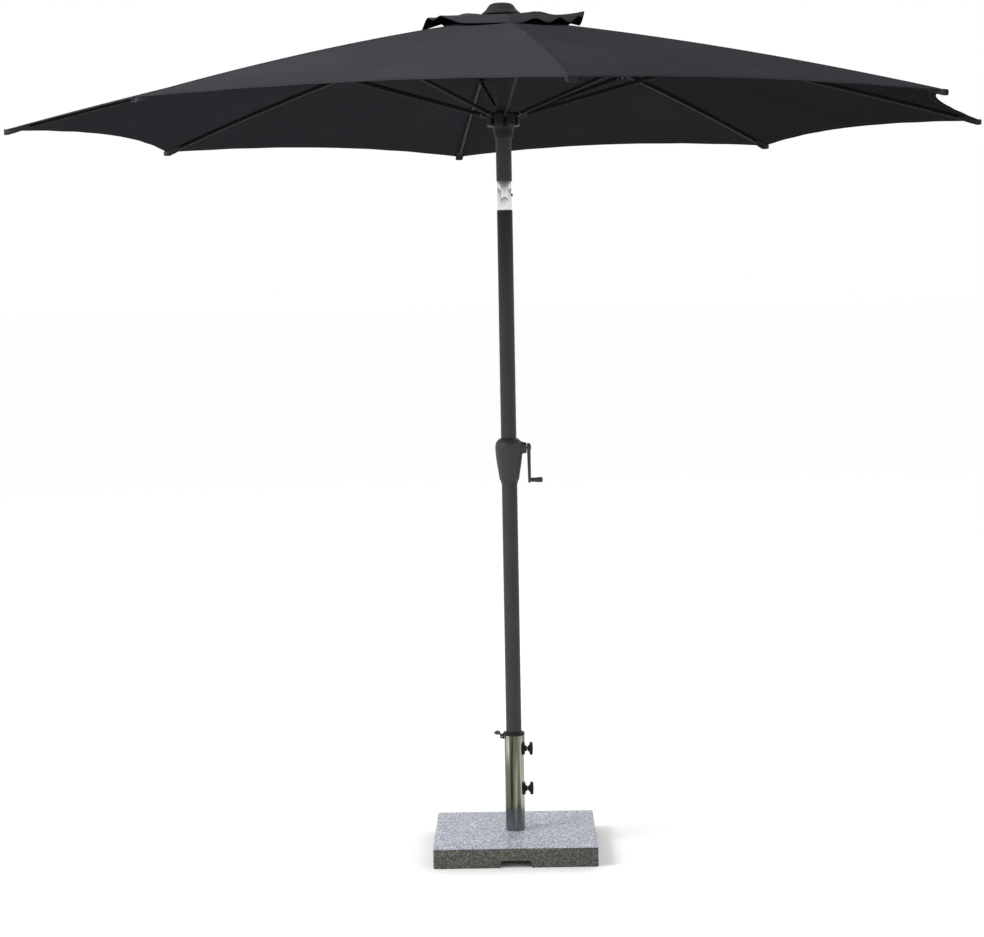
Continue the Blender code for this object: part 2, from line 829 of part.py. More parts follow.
def make_runner():
    bore = POLE_RADIUS + 0.0008
    runner = turned(
        "runner",
        [
            (bore, RUNNER_TOP),
            (RUNNER_RADIUS - 0.003, RUNNER_TOP),
            (RUNNER_RADIUS, RUNNER_TOP - 0.003),
            (RUNNER_RADIUS, RUNNER_FLANGE_BOTTOM + 0.004),
            (RUNNER_RADIUS - 0.003, RUNNER_FLANGE_BOTTOM),
            (0.0340, RUNNER_FLANGE_BOTTOM),
            (0.0310, RUNNER_FLANGE_BOTTOM - 0.010),
            (0.0285, RUNNER_BOTTOM + 0.008),
            (0.0275, RUNNER_BOTTOM),
            (bore, RUNNER_BOTTOM),
        ],
        "black_plastic",
        closed=True,
    )
    cut_rib_slots(runner, "runner", RUNNER_FLANGE_BOTTOM - 0.01, RUNNER_TOP + 0.01)


def rib_height(radius):
    """The height of a rib's centre line at a distance from the pole."""
    share = (radius - RIB_HINGE_RADIUS) / (RIB_TIP_RADIUS - RIB_HINGE_RADIUS)
    return RIB_HINGE_HEIGHT - RIB_DROP * share + 4 * RIB_BOW * share * (1 - share)


def bracket_pivot():
    return BRACKET_RADIUS, rib_height(BRACKET_RADIUS) - BRACKET_DROP


def on_rib(angle, radius, height):
    return (radius * math.cos(angle), radius * math.sin(angle), height)


def rib_outline():
    """The rib's side view from its hinge: a round eye and a bowed bar that thins to the tip."""
    count = 9
    start = RIB_HINGE_RADIUS + 0.010
    radii = [start + (RIB_TIP_RADIUS - start) * i / count for i in range(count + 1)]
    top, bottom = [], []
    for radius in radii:
        share = (radius - start) / (RIB_TIP_RADIUS - start)
        half = RIB_HEIGHT / 2 * (1 - 0.25 * share)
        height = rib_height(radius) - RIB_HINGE_HEIGHT
        top.append((radius - RIB_HINGE_RADIUS, height + half))
        bottom.append((radius - RIB_HINGE_RADIUS, height - half))
    eye = arc((0, 0), EYE_RADIUS, math.radians(70), math.radians(290), 5)
    return bottom + top[::-1] + eye


def strut_outline():
    """The strut's side view from its pivot under the rib down to the runner."""
    radius, height = bracket_pivot()
    reach = Vector((STRUT_FOOT_RADIUS - radius, STRUT_FOOT_HEIGHT - height))
    along = reach.normalized()
    across = Vector((-along.y, along.x)) * STRUT_HEIGHT / 2
    lean = math.atan2(along.y, along.x)
    near, far = along * 0.016, reach - along * 0.016
    return (
        arc((0, 0), STRUT_EYE_RADIUS, lean + math.radians(70), lean + math.radians(290), 5)
        + [tuple(near - across), tuple(far - across)]
        + arc(tuple(reach), STRUT_EYE_RADIUS, lean - math.radians(110), lean + math.radians(110), 5)
        + [tuple(far + across), tuple(near + across)]
    ), tuple(reach)


def make_ribs_and_struts():
    pivot_radius, pivot_height = bracket_pivot()
    outline = rib_outline()
    strut, foot = strut_outline()
    for i, angle in enumerate(rib_angles()):
        upright = (math.pi / 2, 0, angle)
        plate(
            f"rib_{i + 1}",
            outline,
            [((0, 0), RING_WIRE + 0.0008)],
            RIB_WIDTH,
            "rib_paint",
            on_rib(angle, RIB_HINGE_RADIUS, RIB_HINGE_HEIGHT),
            upright,
        )
        plate(
            f"strut_{i + 1}",
            strut,
            [((0, 0), PIN_RADIUS + GAP), (foot, PIN_RADIUS)],
            STRUT_WIDTH,
            "rib_paint",
            on_rib(angle, pivot_radius, pivot_height),
            upright,
        )
        make_bracket(i + 1, angle, pivot_radius, pivot_height)


def make_bracket(number, angle, radius, height):
    """A clip under the rib with two cheeks and the pin that the strut turns on."""
    slope = math.atan2(rib_height(radius + 0.01) - rib_height(radius - 0.01), 0.02)
    top = BRACKET_DROP - RIB_HEIGHT / 2 * 0.9 - 0.0012
    length, side = 0.030, 0.0085
    right = [(0.0045, -0.0065), (0.0065, -0.005), (length / 2, top - 0.004), (length / 2, top)]
    outline = [(-x, y) for x, y in right[::-1]] + right
    tilted = [
        (x * math.cos(slope) - y * math.sin(slope), x * math.sin(slope) + y * math.cos(slope))
        for x, y in outline
    ]
    upright = (math.pi / 2, 0, angle)
    at = on_rib(angle, radius, height)
    bracket = plate(f"rib_bracket_{number}", tilted, [], 2 * side, "black_plastic", at, upright)
    gap_half = STRUT_WIDTH / 2 + GAP
    slot = box_cutter(
        f"bracket_slot_{number}",
        (-0.03, -gap_half, -0.02),
        (0.03, gap_half, STRUT_EYE_RADIUS + 0.0006),
        at,
        (0, 0, angle),
    )
    combine(bracket, slot)
    reach = Vector((-math.sin(angle), math.cos(angle), 0)) * (side - 0.001)
    pin = rod_cutter(f"bracket_pin_{number}", PIN_RADIUS, Vector(at) - reach, Vector(at) + reach, 8)
    combine(bracket, pin, "UNION")


def hem_radius(share):
    """How far out the hem is, from a rib (share 0) to half way to the next (share 1)."""
    hollow = HEM_HOLLOW / math.cos(math.pi / RIBS)
    return CANOPY_RADIUS - hollow * (1 - (1 - share) ** 2)


def make_canopy():
    """One panel for each rib, from half way to one neighbour to half way to the other."""
    rows, columns = 8, 6
    half_turn = math.pi / RIBS
    for i, angle in enumerate(rib_angles()):
        built = bmesh.new()
        bmesh.ops.create_grid(built, x_segments=rows, y_segments=columns, size=1.0)
        for vertex in built.verts:
            across, out = vertex.co.y, (vertex.co.x + 1) / 2
            share = abs(across) * 0.998
            reach = CANOPY_START + (hem_radius(share) - CANOPY_START) * out
            side = math.copysign(reach * share * math.sin(half_turn), across)
            inward = abs(side) * math.sin(half_turn)
            height = rib_height(reach) + RIB_HEIGHT / 2 + 0.0008
            vertex.co = (reach - inward, side * math.cos(half_turn), height)
        mesh = bpy.data.meshes.new(f"canopy_panel_{i + 1}")
        built.to_mesh(mesh)
        built.free()
        panel = place(
            mesh.name, mesh, "canopy_cloth", on_rib(angle, RIB_HINGE_RADIUS, 0), (0, 0, angle)
        )
        mesh.transform(Matrix.Translation((-RIB_HINGE_RADIUS, 0, 0)))
        cloth = panel.modifiers.new("cloth", "SOLIDIFY")
        cloth.thickness = CLOTH
        cloth.offset = 1.0


def make_vent_cap():
    """The small cap over the opening at the canopy's top."""
    inner = 0.0085
    shape = []
    count = 3
    for i in range(count + 1):
        share = i / count
        radius = inner + (VENT_RADIUS - inner) * share
        shape.append((radius, VENT_TOP + (VENT_EDGE - VENT_TOP) * (0.75 * share + 0.25 * share**2)))
    lower = [(radius, height - CLOTH) for radius, height in shape]
    cap = turned("vent_cap", shape + lower[::-1], "canopy_cloth", closed=True)
    smooth(cap)


make_slab()
make_base_bolt()
make_tube()
make_collar()
make_lever()
make_knobs()
make_poles()
make_crank_housing()
make_crank()
make_tilt()
make_crown()
make_pulley()
make_finial()
make_runner()
make_ribs_and_struts()
make_canopy()
make_vent_cap()
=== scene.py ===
import math

import bmesh
import bpy
from mathutils import Matrix, Vector


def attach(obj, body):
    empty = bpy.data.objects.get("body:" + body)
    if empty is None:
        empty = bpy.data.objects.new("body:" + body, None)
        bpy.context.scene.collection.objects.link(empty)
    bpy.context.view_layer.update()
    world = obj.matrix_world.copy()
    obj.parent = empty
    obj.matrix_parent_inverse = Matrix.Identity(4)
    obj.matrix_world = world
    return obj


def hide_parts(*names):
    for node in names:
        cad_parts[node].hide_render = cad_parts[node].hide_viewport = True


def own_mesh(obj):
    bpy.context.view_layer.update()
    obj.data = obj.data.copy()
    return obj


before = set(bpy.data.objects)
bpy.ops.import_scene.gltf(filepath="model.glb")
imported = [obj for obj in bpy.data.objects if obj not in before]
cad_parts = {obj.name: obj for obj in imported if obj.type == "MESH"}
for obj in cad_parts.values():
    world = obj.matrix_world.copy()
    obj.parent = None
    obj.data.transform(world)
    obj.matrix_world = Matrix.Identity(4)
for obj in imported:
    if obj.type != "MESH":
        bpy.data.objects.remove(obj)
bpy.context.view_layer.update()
print("frame loaded")


class Wire:
    def __init__(self, recipe, socket):
        self.recipe = recipe
        self.socket = socket

    def maths(self, operation, first, second):
        return self.recipe.node("ShaderNodeMath", {"operation": operation}, {0: first, 1: second})

    def __add__(self, other):
        return self.maths("ADD", self, other)

    def __radd__(self, other):
        return self.maths("ADD", other, self)

    def __mul__(self, other):
        return self.maths("MULTIPLY", self, other)

    def __rmul__(self, other):
        return self.maths("MULTIPLY", other, self)


class Recipe:
    def __init__(self, name, **uniform):
        self.material = bpy.data.materials.new(name)
        self.material.use_nodes = True
        self.tree = self.material.node_tree
        self.shader = self.tree.nodes["Principled BSDF"]
        for socket, value in uniform.items():
            self.shader.inputs[socket.replace("_", " ")].default_value = value

    def node(self, kind, settings=None, inputs=None, out=0):
        made = self.tree.nodes.new(kind)
        for key, value in (settings or {}).items():
            if key == "stops":
                while len(made.color_ramp.elements) < len(value):
                    made.color_ramp.elements.new(0.5)
                for element, (place, colour) in zip(made.color_ramp.elements, value):
                    element.position = place
                    element.color = (*colour, 1.0)
            else:
                setattr(made, key, value)
        for key, value in (inputs or {}).items():
            if isinstance(value, Wire):
                self.tree.links.new(value.socket, made.inputs[key])
            elif isinstance(value, (tuple, list)) and made.inputs[key].type == "RGBA":
                made.inputs[key].default_value = (*value, 1.0)
            else:
                made.inputs[key].default_value = value
        return Wire(self, made.outputs[out])

    def sine(self, value):
        return self.node("ShaderNodeMath", {"operation": "SINE"}, {0: value})

    def noise(self, place, scale, detail=2.0, roughness=0.5):
        return self.node(
            "ShaderNodeTexNoise",
            None,
            {"Vector": place, "Scale": scale, "Detail": detail, "Roughness": roughness},
            "Fac",
        )

    def ramp(self, value, stops):
        return self.node("ShaderNodeValToRGB", {"stops": stops}, {0: value})

    def blend(self, share, first, second, mode="MIX"):
        return self.node(
            "ShaderNodeMix",
            {"data_type": "RGBA", "blend_type": mode},
            {0: share, 6: first, 7: second},
            2,
        )

    def stretch(self, place, scale):
        return self.node("ShaderNodeMapping", None, {"Vector": place, "Scale": scale})

    def feed(self, socket, wire):
        self.tree.links.new(wire.socket, self.shader.inputs[socket])

    def bump(self, height, strength, distance):
        bumped = self.node(
            "ShaderNodeBump", None, {"Height": height, "Strength": strength, "Distance": distance}
        )
        self.feed("Normal", bumped)

    def objectPlace(self):
        return self.node("ShaderNodeTexCoord", out="Object")

    def clothPlace(self):
        return self.node("ShaderNodeUVMap", {"uv_map": "cloth"})


clothLook = {
    # a tone factor for each gore: painted light and shade, some gores painted lighter and others darker
    "fade": (0.78, 0.72, 0.85, 1.0, 1.1, 1.2, 1.25, 1.0),
    "colour": (0.0425, 0.0403, 0.0464),
    "worn": (0.0505, 0.0480, 0.0550),
    "thread": 0.0009,
    "slubScale": 55.0,
}


def makeCloth(name, look, darker=1.0):
    recipe = Recipe(name, Roughness=0.86, Specular_IOR_Level=0.0)
    place = recipe.clothPlace()
    parts = recipe.node("ShaderNodeSeparateXYZ", None, {0: place}, 0)
    across = parts
    along = Wire(recipe, parts.socket.node.outputs[1])
    turn = math.pi / look["thread"]
    weft = recipe.sine(across * turn)
    warp = recipe.sine(along * turn)
    weave = weft * warp * 0.5 + 0.5
    slub = recipe.noise(recipe.stretch(place, (9.0, 1.0, 1.0)), look["slubScale"], 3.0, 0.6)
    cloud = recipe.noise(place, 2.6, 3.0, 0.55)
    base = tuple(c * darker for c in look["colour"])
    worn = tuple(c * darker for c in look["worn"])
    tone = recipe.blend(recipe.ramp(cloud, [(0.32, (0, 0, 0)), (0.72, (1, 1, 1))]), base, worn)
    grain = recipe.ramp(weave * 0.5 + slub * 0.5, [(0.2, (0.86, 0.86, 0.87)), (0.8, (1.1, 1.1, 1.1))])
    # the gore's painted light and shade multiplies the cloth tone
    fade = recipe.node("ShaderNodeAttribute", {"attribute_name": "fade"}, None, "Color")
    tone = recipe.blend(1.0, tone, fade, "MULTIPLY")
    recipe.feed("Base Color", recipe.blend(1.0, tone, grain, "MULTIPLY"))
    recipe.feed("Roughness", slub * 0.14 + 0.78)
    recipe.bump(weave * 0.6 + slub * 0.4, 0.35, 0.0004)
    return recipe.material


def makeThread():
    recipe = Recipe("threadFinish", Roughness=0.8, Specular_IOR_Level=0.1)
    place = recipe.objectPlace()
    twist = recipe.noise(place, 900.0, 1.0)
    recipe.feed(
        "Base Color", recipe.ramp(twist, [(0.3, (0.020, 0.0195, 0.022)), (0.7, (0.036, 0.035, 0.039))])
    )
    return recipe.material


def makePowderCoat(name, colour, roughness, metallic=0.15, shine=0.25):
    # fine orange-peel with faint dust and rubbed patches
    recipe = Recipe(name, Metallic=metallic, Specular_IOR_Level=shine)
    place = recipe.objectPlace()
    peel = recipe.noise(place, 900.0, 2.0)
    patch = recipe.noise(recipe.stretch(place, (1.0, 1.0, 0.35)), 14.0, 4.0, 0.6)
    light = tuple(min(1.0, c * 1.22 + 0.004) for c in colour)
    recipe.feed(
        "Base Color",
        recipe.blend(recipe.ramp(patch, [(0.35, (0, 0, 0)), (0.75, (1, 1, 1))]), colour, light)
    )
    recipe.feed("Roughness", patch * 0.16 + (roughness - 0.08))
    recipe.bump(peel, 0.12, 0.0003)
    return recipe.material


def makePlastic(name, colour, roughness, shine=0.3):
    # moulded plastic with a spark-eroded grain
    recipe = Recipe(name, Specular_IOR_Level=shine)
    place = recipe.objectPlace()
    grain = recipe.node("ShaderNodeTexVoronoi", None, {"Vector": place, "Scale": 1300.0}, "Distance")
    cloud = recipe.noise(place, 40.0, 3.0)
    light = tuple(min(1.0, c * 1.25 + 0.003) for c in colour)
    recipe.feed("Base Color", recipe.blend(cloud, colour, light))
    recipe.feed("Roughness", cloud * 0.14 + (roughness - 0.07))
    recipe.bump(grain * 0.5 + cloud * 0.2, 0.14, 0.0003)
    return recipe.material


def makeMetal(name, colour, roughness, streak, scratch=0.12):
    # turned or drawn metal: fine lines, which run along the axis that is stretched least
    recipe = Recipe(name, Metallic=1.0)
    place = recipe.objectPlace()
    lines = recipe.noise(recipe.stretch(place, streak), 60.0, 4.0, 0.7)
    smear = recipe.noise(place, 9.0, 3.0, 0.6)
    dark = tuple(c * 0.82 for c in colour)
    recipe.feed("Base Color", recipe.blend(smear, dark, colour))
    recipe.feed("Roughness", lines * 0.12 + smear * 0.1 + (roughness - 0.1))
    recipe.bump(lines, scratch, 0.0002)
    return recipe.material


graniteLook = {
    "grain": 300.0,
    "fleck": 620.0,
    "top": ((0.085, 0.100, 0.125), (0.31, 0.335, 0.395), (0.78, 0.81, 0.90)),
    # the side tones are much darker than the top ones: painted shade on the sides
    "side": ((0.015, 0.0148, 0.012), (0.052, 0.050, 0.040), (0.16, 0.152, 0.128)),
}


def makeGranite():
    recipe = Recipe("graniteFinish", Specular_IOR_Level=0.5)
    place = recipe.objectPlace()
    warp = recipe.node(
        "ShaderNodeVectorMath",
        {"operation": "MULTIPLY_ADD"},
        {0: recipe.node("ShaderNodeTexNoise", None, {"Vector": place, "Scale": 180.0}, "Color"),
         1: (0.0035, 0.0035, 0.0035), 2: place},
    )
    crystals = recipe.node(
        "ShaderNodeTexVoronoi", None, {"Vector": warp, "Scale": graniteLook["grain"]}, "Color"
    )
    kind = recipe.node("ShaderNodeSeparateColor", None, {0: crystals}, 0)
    flecks = recipe.node(
        "ShaderNodeTexVoronoi", None, {"Vector": warp, "Scale": graniteLook["fleck"]}, "Color"
    )
    fleck = recipe.node("ShaderNodeSeparateColor", None, {0: flecks}, 1)
    cloud = recipe.noise(place, 22.0, 4.0, 0.6)
    mixed = kind * 0.62 + fleck * 0.26 + cloud * 0.12
    low, middle, high = graniteLook["top"]
    topTone = recipe.ramp(mixed, [(0.20, low), (0.50, middle), (0.80, high)])
    # faces that do not point up take the darker side tones: painted shade
    low, middle, high = graniteLook["side"]
    shadedSideTone = recipe.ramp(mixed, [(0.2, low), (0.55, middle), (0.9, high)])
    facing = recipe.node("ShaderNodeNewGeometry", out="Normal")
    upward = recipe.node("ShaderNodeSeparateXYZ", None, {0: facing}, 2)
    isTop = recipe.ramp(upward, [(0.55, (0, 0, 0)), (0.85, (1, 1, 1))])
    tone = recipe.blend(isTop, shadedSideTone, topTone)
    black = recipe.ramp(fleck, [(0.06, (1, 1, 1)), (0.10, (0, 0, 0))])
    recipe.feed("Base Color", recipe.blend(black, tone, (0.05, 0.05, 0.055)))
    recipe.feed("Roughness", kind * 0.3 + 0.38)
    recipe.bump(kind * 0.4 + fleck * 0.3 + cloud * 0.5, 0.35, 0.0009)
    return recipe.material


tubeReflections = {
    # colours of the painted reflections on the tube: dark, middle and light bands, and a bluer tone low down
    "dark": (0.030, 0.030, 0.022),
    "middle": (0.125, 0.125, 0.092),
    "light": (0.40, 0.41, 0.335),
    "low": (0.23, 0.25, 0.27),
}


def makeTubeSteel():
    # polished steel, with painted reflections: long soft light and dark bands, and a bluer foot
    look = tubeReflections
    recipe = Recipe("steelPaintedReflections", Metallic=1.0)
    place = recipe.objectPlace()
    reflectionBands = recipe.noise(recipe.stretch(place, (1.0, 1.0, 0.035)), 62.0, 2.0, 0.45)
    fine = recipe.noise(recipe.stretch(place, (14.0, 14.0, 0.5)), 60.0, 3.0, 0.6)
    height = recipe.node("ShaderNodeSeparateXYZ", None, {0: place}, 2)
    tone = recipe.ramp(
        reflectionBands, [(0.34, look["dark"]), (0.44, look["middle"]), (0.56, look["middle"]), (0.68, look["light"])]
    )
    # the foot is painted bluer: painted reflection
    foot = recipe.ramp(height * 4.0 + reflectionBands * 0.3, [(0.42, (1, 1, 1)), (0.72, (0, 0, 0))])
    recipe.feed("Base Color", recipe.blend(foot * 0.75, tone, look["low"]))
    recipe.feed("Roughness", fine * 0.07 + 0.11)
    recipe.bump(fine, 0.04, 0.0002)
    return recipe.material


finishes = {
    "canopy_cloth": makeCloth("canopyCloth", clothLook),
    "lining": makeCloth("hemCloth", clothLook, 0.92),
    # a much darker copy of the cloth, for faces that point down: painted shade
    "shadedCloth": makeCloth("clothPaintedShade", clothLook, 0.36),
    "thread": makeThread(),
    "pole_paint": makePowderCoat("polePaint", (0.023, 0.023, 0.0235), 0.46, 0.0),
    "rib_paint": makePowderCoat("ribPaint", (0.0040, 0.0040, 0.0045), 0.62, 0.0, 0.12),
    "housing_plastic": makePlastic("housingPlastic", (0.024, 0.024, 0.0255), 0.5),
    "black_plastic": makePlastic("blackPlastic", (0.0055, 0.0055, 0.0058), 0.5, 0.2),
    "finial": makePlastic("finialPlastic", (0.020, 0.0195, 0.0215), 0.7, 0.1),
    "silver": makeMetal("turnedAluminium", (0.78, 0.79, 0.80), 0.30, (1.0, 1.0, 22.0)),
    "stainless": makeTubeSteel(),
    "steel": makeMetal("plainSteel", (0.48, 0.48, 0.49), 0.36, (1.0, 1.0, 12.0)),
    "granite": makeGranite(),
}
print("finishes made")


def linked(name, data):
    made = bpy.data.objects.new(name, data)
    bpy.context.scene.collection.objects.link(made)
    return made


def shift(built, vec):
    bmesh.ops.translate(built, verts=built.verts, vec=vec)


def swing(built, angle, axis):
    bmesh.ops.rotate(built, verts=built.verts, cent=(0, 0, 0), matrix=Matrix.Rotation(angle, 3, axis))


def smooth(mesh, sharp=35.0):
    mesh.shade_smooth()
    mesh.set_sharp_from_angle(angle=math.radians(sharp))


def addPiece(built, name, body, slotName, finish=None, stands=(), sharp=35.0):
    bmesh.ops.recalc_face_normals(built, faces=built.faces)
    mesh = bpy.data.meshes.new(name)
    built.to_mesh(mesh)
    built.free()
    piece = linked(name, mesh)
    mesh.materials.append(finishes[finish or slotName])
    smooth(mesh, sharp)
    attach(piece, body)
    if stands:
        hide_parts(*stands)
    return piece


def applyModifiers(piece):
    # the evaluated mesh takes the place of the base mesh, and the modifiers go
    graph = bpy.context.evaluated_depsgraph_get()
    bpy.context.view_layer.update()
    mesh = bpy.data.meshes.new_from_object(piece.evaluated_get(graph))
    piece.modifiers.clear()
    piece.data = mesh
    return piece


def filleted(points, radius, closed=False, steps=4):
    # rounds the corners of an outline; a corner may give its own radius as a third number
    count = len(points)
    result = []
    for i, point in enumerate(points):
        here = Vector(point[:2])
        size = point[2] if len(point) > 2 else radius
        if (not closed and i in (0, count - 1)) or size <= 0:
            result.append(here)
            continue
        before = Vector(points[i - 1][:2])
        after = Vector(points[(i + 1) % count][:2])
        toBefore, toAfter = (before - here), (after - here)
        reach = min(size, toBefore.length * 0.49, toAfter.length * 0.49)
        start = here + toBefore.normalized() * reach
        end = here + toAfter.normalized() * reach
        for k in range(steps + 1):
            t = k / steps
            result.append(start * (1 - t) ** 2 + here * 2 * t * (1 - t) + end * t**2)
    return result


def spun(profile, steps=72, angle=2 * math.pi, closed=False, alongX=False, at=(0, 0, 0), start=0.0):
    # turns a profile of (radius, height) points about the upright axis, or about X
    built = bmesh.new()
    verts = [built.verts.new((p[0], 0.0, p[1])) for p in profile]
    edges = [built.edges.new((a, b)) for a, b in zip(verts, verts[1:])]
    if closed:
        edges.append(built.edges.new((verts[-1], verts[0])))
    full = abs(angle - 2 * math.pi) < 1e-6
    bmesh.ops.rotate(built, verts=verts, cent=(0, 0, 0), matrix=Matrix.Rotation(start, 3, "Z"))
    bmesh.ops.spin(
        built, geom=verts + edges, cent=(0, 0, 0), axis=(0, 0, 1), angle=angle, steps=steps, use_merge=full
    )
    bmesh.ops.remove_doubles(built, verts=built.verts, dist=0.000005)
    if alongX:
        swing(built, math.pi / 2, "Y")
    shift(built, Vector(at))
    return built


def slab(outline, thickness, bevel=0.0, segments=2, plane="XZ"):
    # an outline drawn in the XZ plane, made a plate centred on it, with its rims rounded
    built = bmesh.new()
    verts = [built.verts.new((p[0], -thickness / 2, p[1])) for p in outline]
    face = built.faces.new(verts)
    pushed = bmesh.ops.extrude_face_region(built, geom=[face])
    moved = [e for e in pushed["geom"] if isinstance(e, bmesh.types.BMVert)]
    bmesh.ops.translate(built, verts=moved, vec=(0, thickness, 0))
    bmesh.ops.recalc_face_normals(built, faces=built.faces)
    if bevel:
        rims = [e for e in built.edges if abs(e.verts[0].co.y - e.verts[1].co.y) < 1e-7]
        bmesh.ops.bevel(
            built, geom=rims, offset=bevel, segments=segments, affect="EDGES", profile=0.5, material=-1
        )
    if plane == "YZ":
        swing(built, math.pi / 2, "Z")
    return built


def circlePoints(x, z, radius, first, last, count):
    return [
        (x + radius * math.cos(first + (last - first) * i / count),
         z + radius * math.sin(first + (last - first) * i / count))
        for i in range(count + 1)
    ]


def loft(rings):
    # closed rings of points, bridged one to the next
    built = bmesh.new()
    loops = []
    for ring in rings:
        verts = [built.verts.new(p) for p in ring]
        loops.append([built.edges.new((a, b)) for a, b in zip(verts, verts[1:] + verts[:1])])
    for first, second in zip(loops, loops[1:]):
        bmesh.ops.bridge_loops(built, edges=first + second)
    for loop in (loops[0], loops[-1]):
        bmesh.ops.contextual_create(built, geom=loop)
    bmesh.ops.recalc_face_normals(built, faces=built.faces)
    return built


def roundedBox(width, height, corner, steps=3):
    # a rounded rectangle centred on the origin, as (across, up) points
    points = []
    for sx, sy, first in ((1, 1, 0), (-1, 1, 90), (-1, -1, 180), (1, -1, 270)):
        for k in range(steps + 1):
            angle = math.radians(first + 90 * k / steps)
            points.append(
                (sx * (width / 2 - corner) + corner * math.cos(angle),
                 sy * (height / 2 - corner) + corner * math.sin(angle))
            )
    return points


def joined(first, second):
    # adds the faces of one bmesh to another
    mesh = bpy.data.meshes.new("part")
    second.to_mesh(mesh)
    second.free()
    first.from_mesh(mesh)
    bpy.data.meshes.remove(mesh)
    return first


def cutBy(piece, cutters, operation="DIFFERENCE"):
    for built in cutters:
        mesh = bpy.data.meshes.new("cutter")
        bmesh.ops.recalc_face_normals(built, faces=built.faces)
        built.to_mesh(mesh)
        built.free()
        tool = linked("cutter", mesh)
        modifier = piece.modifiers.new("cut", "BOOLEAN")
        modifier.object = tool
        modifier.operation = operation
        applyModifiers(piece)
        bpy.data.objects.remove(tool, do_unlink=True)
    return piece


def rounded(piece, width, segments=2, angle=40.0):
    bevel = piece.modifiers.new("rounded", "BEVEL")
    bevel.width = width
    bevel.segments = segments
    bevel.limit_method = "ANGLE"
    bevel.angle_limit = math.radians(angle)
    bevel.harden_normals = False
    applyModifiers(piece)
    smooth(piece.data)
    return piece


def block(low, high):
    built = bmesh.new()
    bmesh.ops.create_cube(built, size=1.0)
    low, high = Vector(low), Vector(high)
    bmesh.ops.scale(built, vec=high - low, verts=built.verts)
    shift(built, (low + high) / 2)
    return built


def rod(radius, start, end, sides=32):
    start, end = Vector(start), Vector(end)
    built = bmesh.new()
    bmesh.ops.create_cone(
        built, cap_ends=True, segments=sides, radius1=radius, radius2=radius, depth=(end - start).length
    )
    turn = (end - start).to_track_quat("Z", "Y").to_matrix().to_4x4()
    bmesh.ops.transform(built, matrix=Matrix.Translation((start + end) / 2) @ turn, verts=built.verts)
    return built


cameraPlace = {
    "distance": 7.0,
    "side": 0.0161,
    "height": 1.7211,
    "pitch": 4.297,
    "yaw": 0.569,
    "roll": -1.041,
    "focal": 2265.8,
    "frameWidth": 984,
}


def makeCamera():
    place = cameraPlace
    data = bpy.data.cameras.new("camera")
    data.sensor_width = 36.0
    data.lens = place["focal"] / place["frameWidth"] * data.sensor_width
    data.clip_end = 1000.0
    camera = bpy.data.objects.new("camera", data)
    camera.location = (place["side"], -place["distance"], place["height"])
    turn = (
        Matrix.Rotation(math.radians(place["yaw"]), 4, "Z")
        @ Matrix.Rotation(math.radians(90 - place["pitch"]), 4, "X")
        @ Matrix.Rotation(math.radians(place["roll"]), 4, "Z")
    )
    camera.rotation_euler = turn.to_euler()
    bpy.context.scene.collection.objects.link(camera)
    bpy.context.scene.camera = camera


def makeLight(name, place, aim, size, power, colour=(1, 1, 1)):
    data = bpy.data.lights.new(name, "AREA")
    data.shape = "DISK"
    data.size = size
    data.energy = power
    data.color = colour
    lamp = bpy.data.objects.new(name, data)
    lamp.location = place
    lamp.rotation_euler = (Vector(aim) - Vector(place)).to_track_quat("-Z", "Y").to_euler()
    bpy.context.scene.collection.objects.link(lamp)


def makeStage():
    scene = bpy.context.scene
    scene.view_settings.view_transform = "Standard"
    world = bpy.data.worlds.new("studio")
    scene.world = world
    world.use_nodes = True
    world.node_tree.nodes["Background"].inputs[0].default_value = (1.0, 1.0, 1.0, 1.0)
    world.node_tree.nodes["Background"].inputs[1].default_value = 1.0
    built = bmesh.new()
    bmesh.ops.create_grid(built, x_segments=4, y_segments=4, size=300.0)
    mesh = bpy.data.meshes.new("floor")
    built.to_mesh(mesh)
    built.free()
    floor = bpy.data.objects.new("floor", mesh)
    floor.location.z = -0.0005
    scene.collection.objects.link(floor)
    recipe = Recipe("floorFinish", Roughness=0.9)
    recipe.shader.inputs["Base Color"].default_value = (0.985, 0.985, 0.985, 1.0)
    mesh.materials.append(recipe.material)
    makeLight("keyLight", (-4.6, -2.6, 4.9), (0, 0, 2.2), 2.6, 230)
    makeLight("fillLight", (3.8, -3.0, 3.0), (0, 0, 1.4), 2.8, 10)
    makeLight("rimLight", (1.5, 4.0, 4.6), (0, 0, 2.2), 2.4, 40)


makeCamera()
makeStage()
print("camera and light placed")


slabLook = {"side": 0.500, "height": 0.060, "edge": 0.0035, "notch": (0.097, 0.022, 0.060)}


def makeSlab():
    half = slabLook["side"] / 2
    wide, tall, deep = slabLook["notch"]
    built = block((-half, -half, 0), (half, half, slabLook["height"]))
    piece = addPiece(built, "graniteSlab", "base", "granite", stands=("granite_slab",))
    rounded(piece, slabLook["edge"], 3)
    for side in (-1, 1):
        outline = [
            (-wide / 2 - 0.001, -0.02, 0),
            (wide / 2 + 0.001, -0.02, 0),
            (wide / 2 + 0.001, 0.0, 0),
            (wide / 2 - 0.002, tall, 0.010),
            (-wide / 2 + 0.002, tall, 0.010),
            (-wide / 2 - 0.001, 0.0, 0),
        ]
        notch = slab(filleted(outline, 0.0, True), 2 * deep)
        shift(notch, (0, side * half, 0))
        cutBy(piece, [notch])
    cutBy(
        piece, [rod(0.022, (0, 0, -0.01), (0, 0, 0.018), 48), rod(0.0063, (0, 0, -0.01), (0, 0, 0.08), 24)]
    )
    smooth(piece.data)


tubeLook = {
    "radius": 0.030, "wall": 0.002, "bottom": 0.0603, "top": 0.360, "knobs": (0.190, 0.316), "hole": 0.0055
}


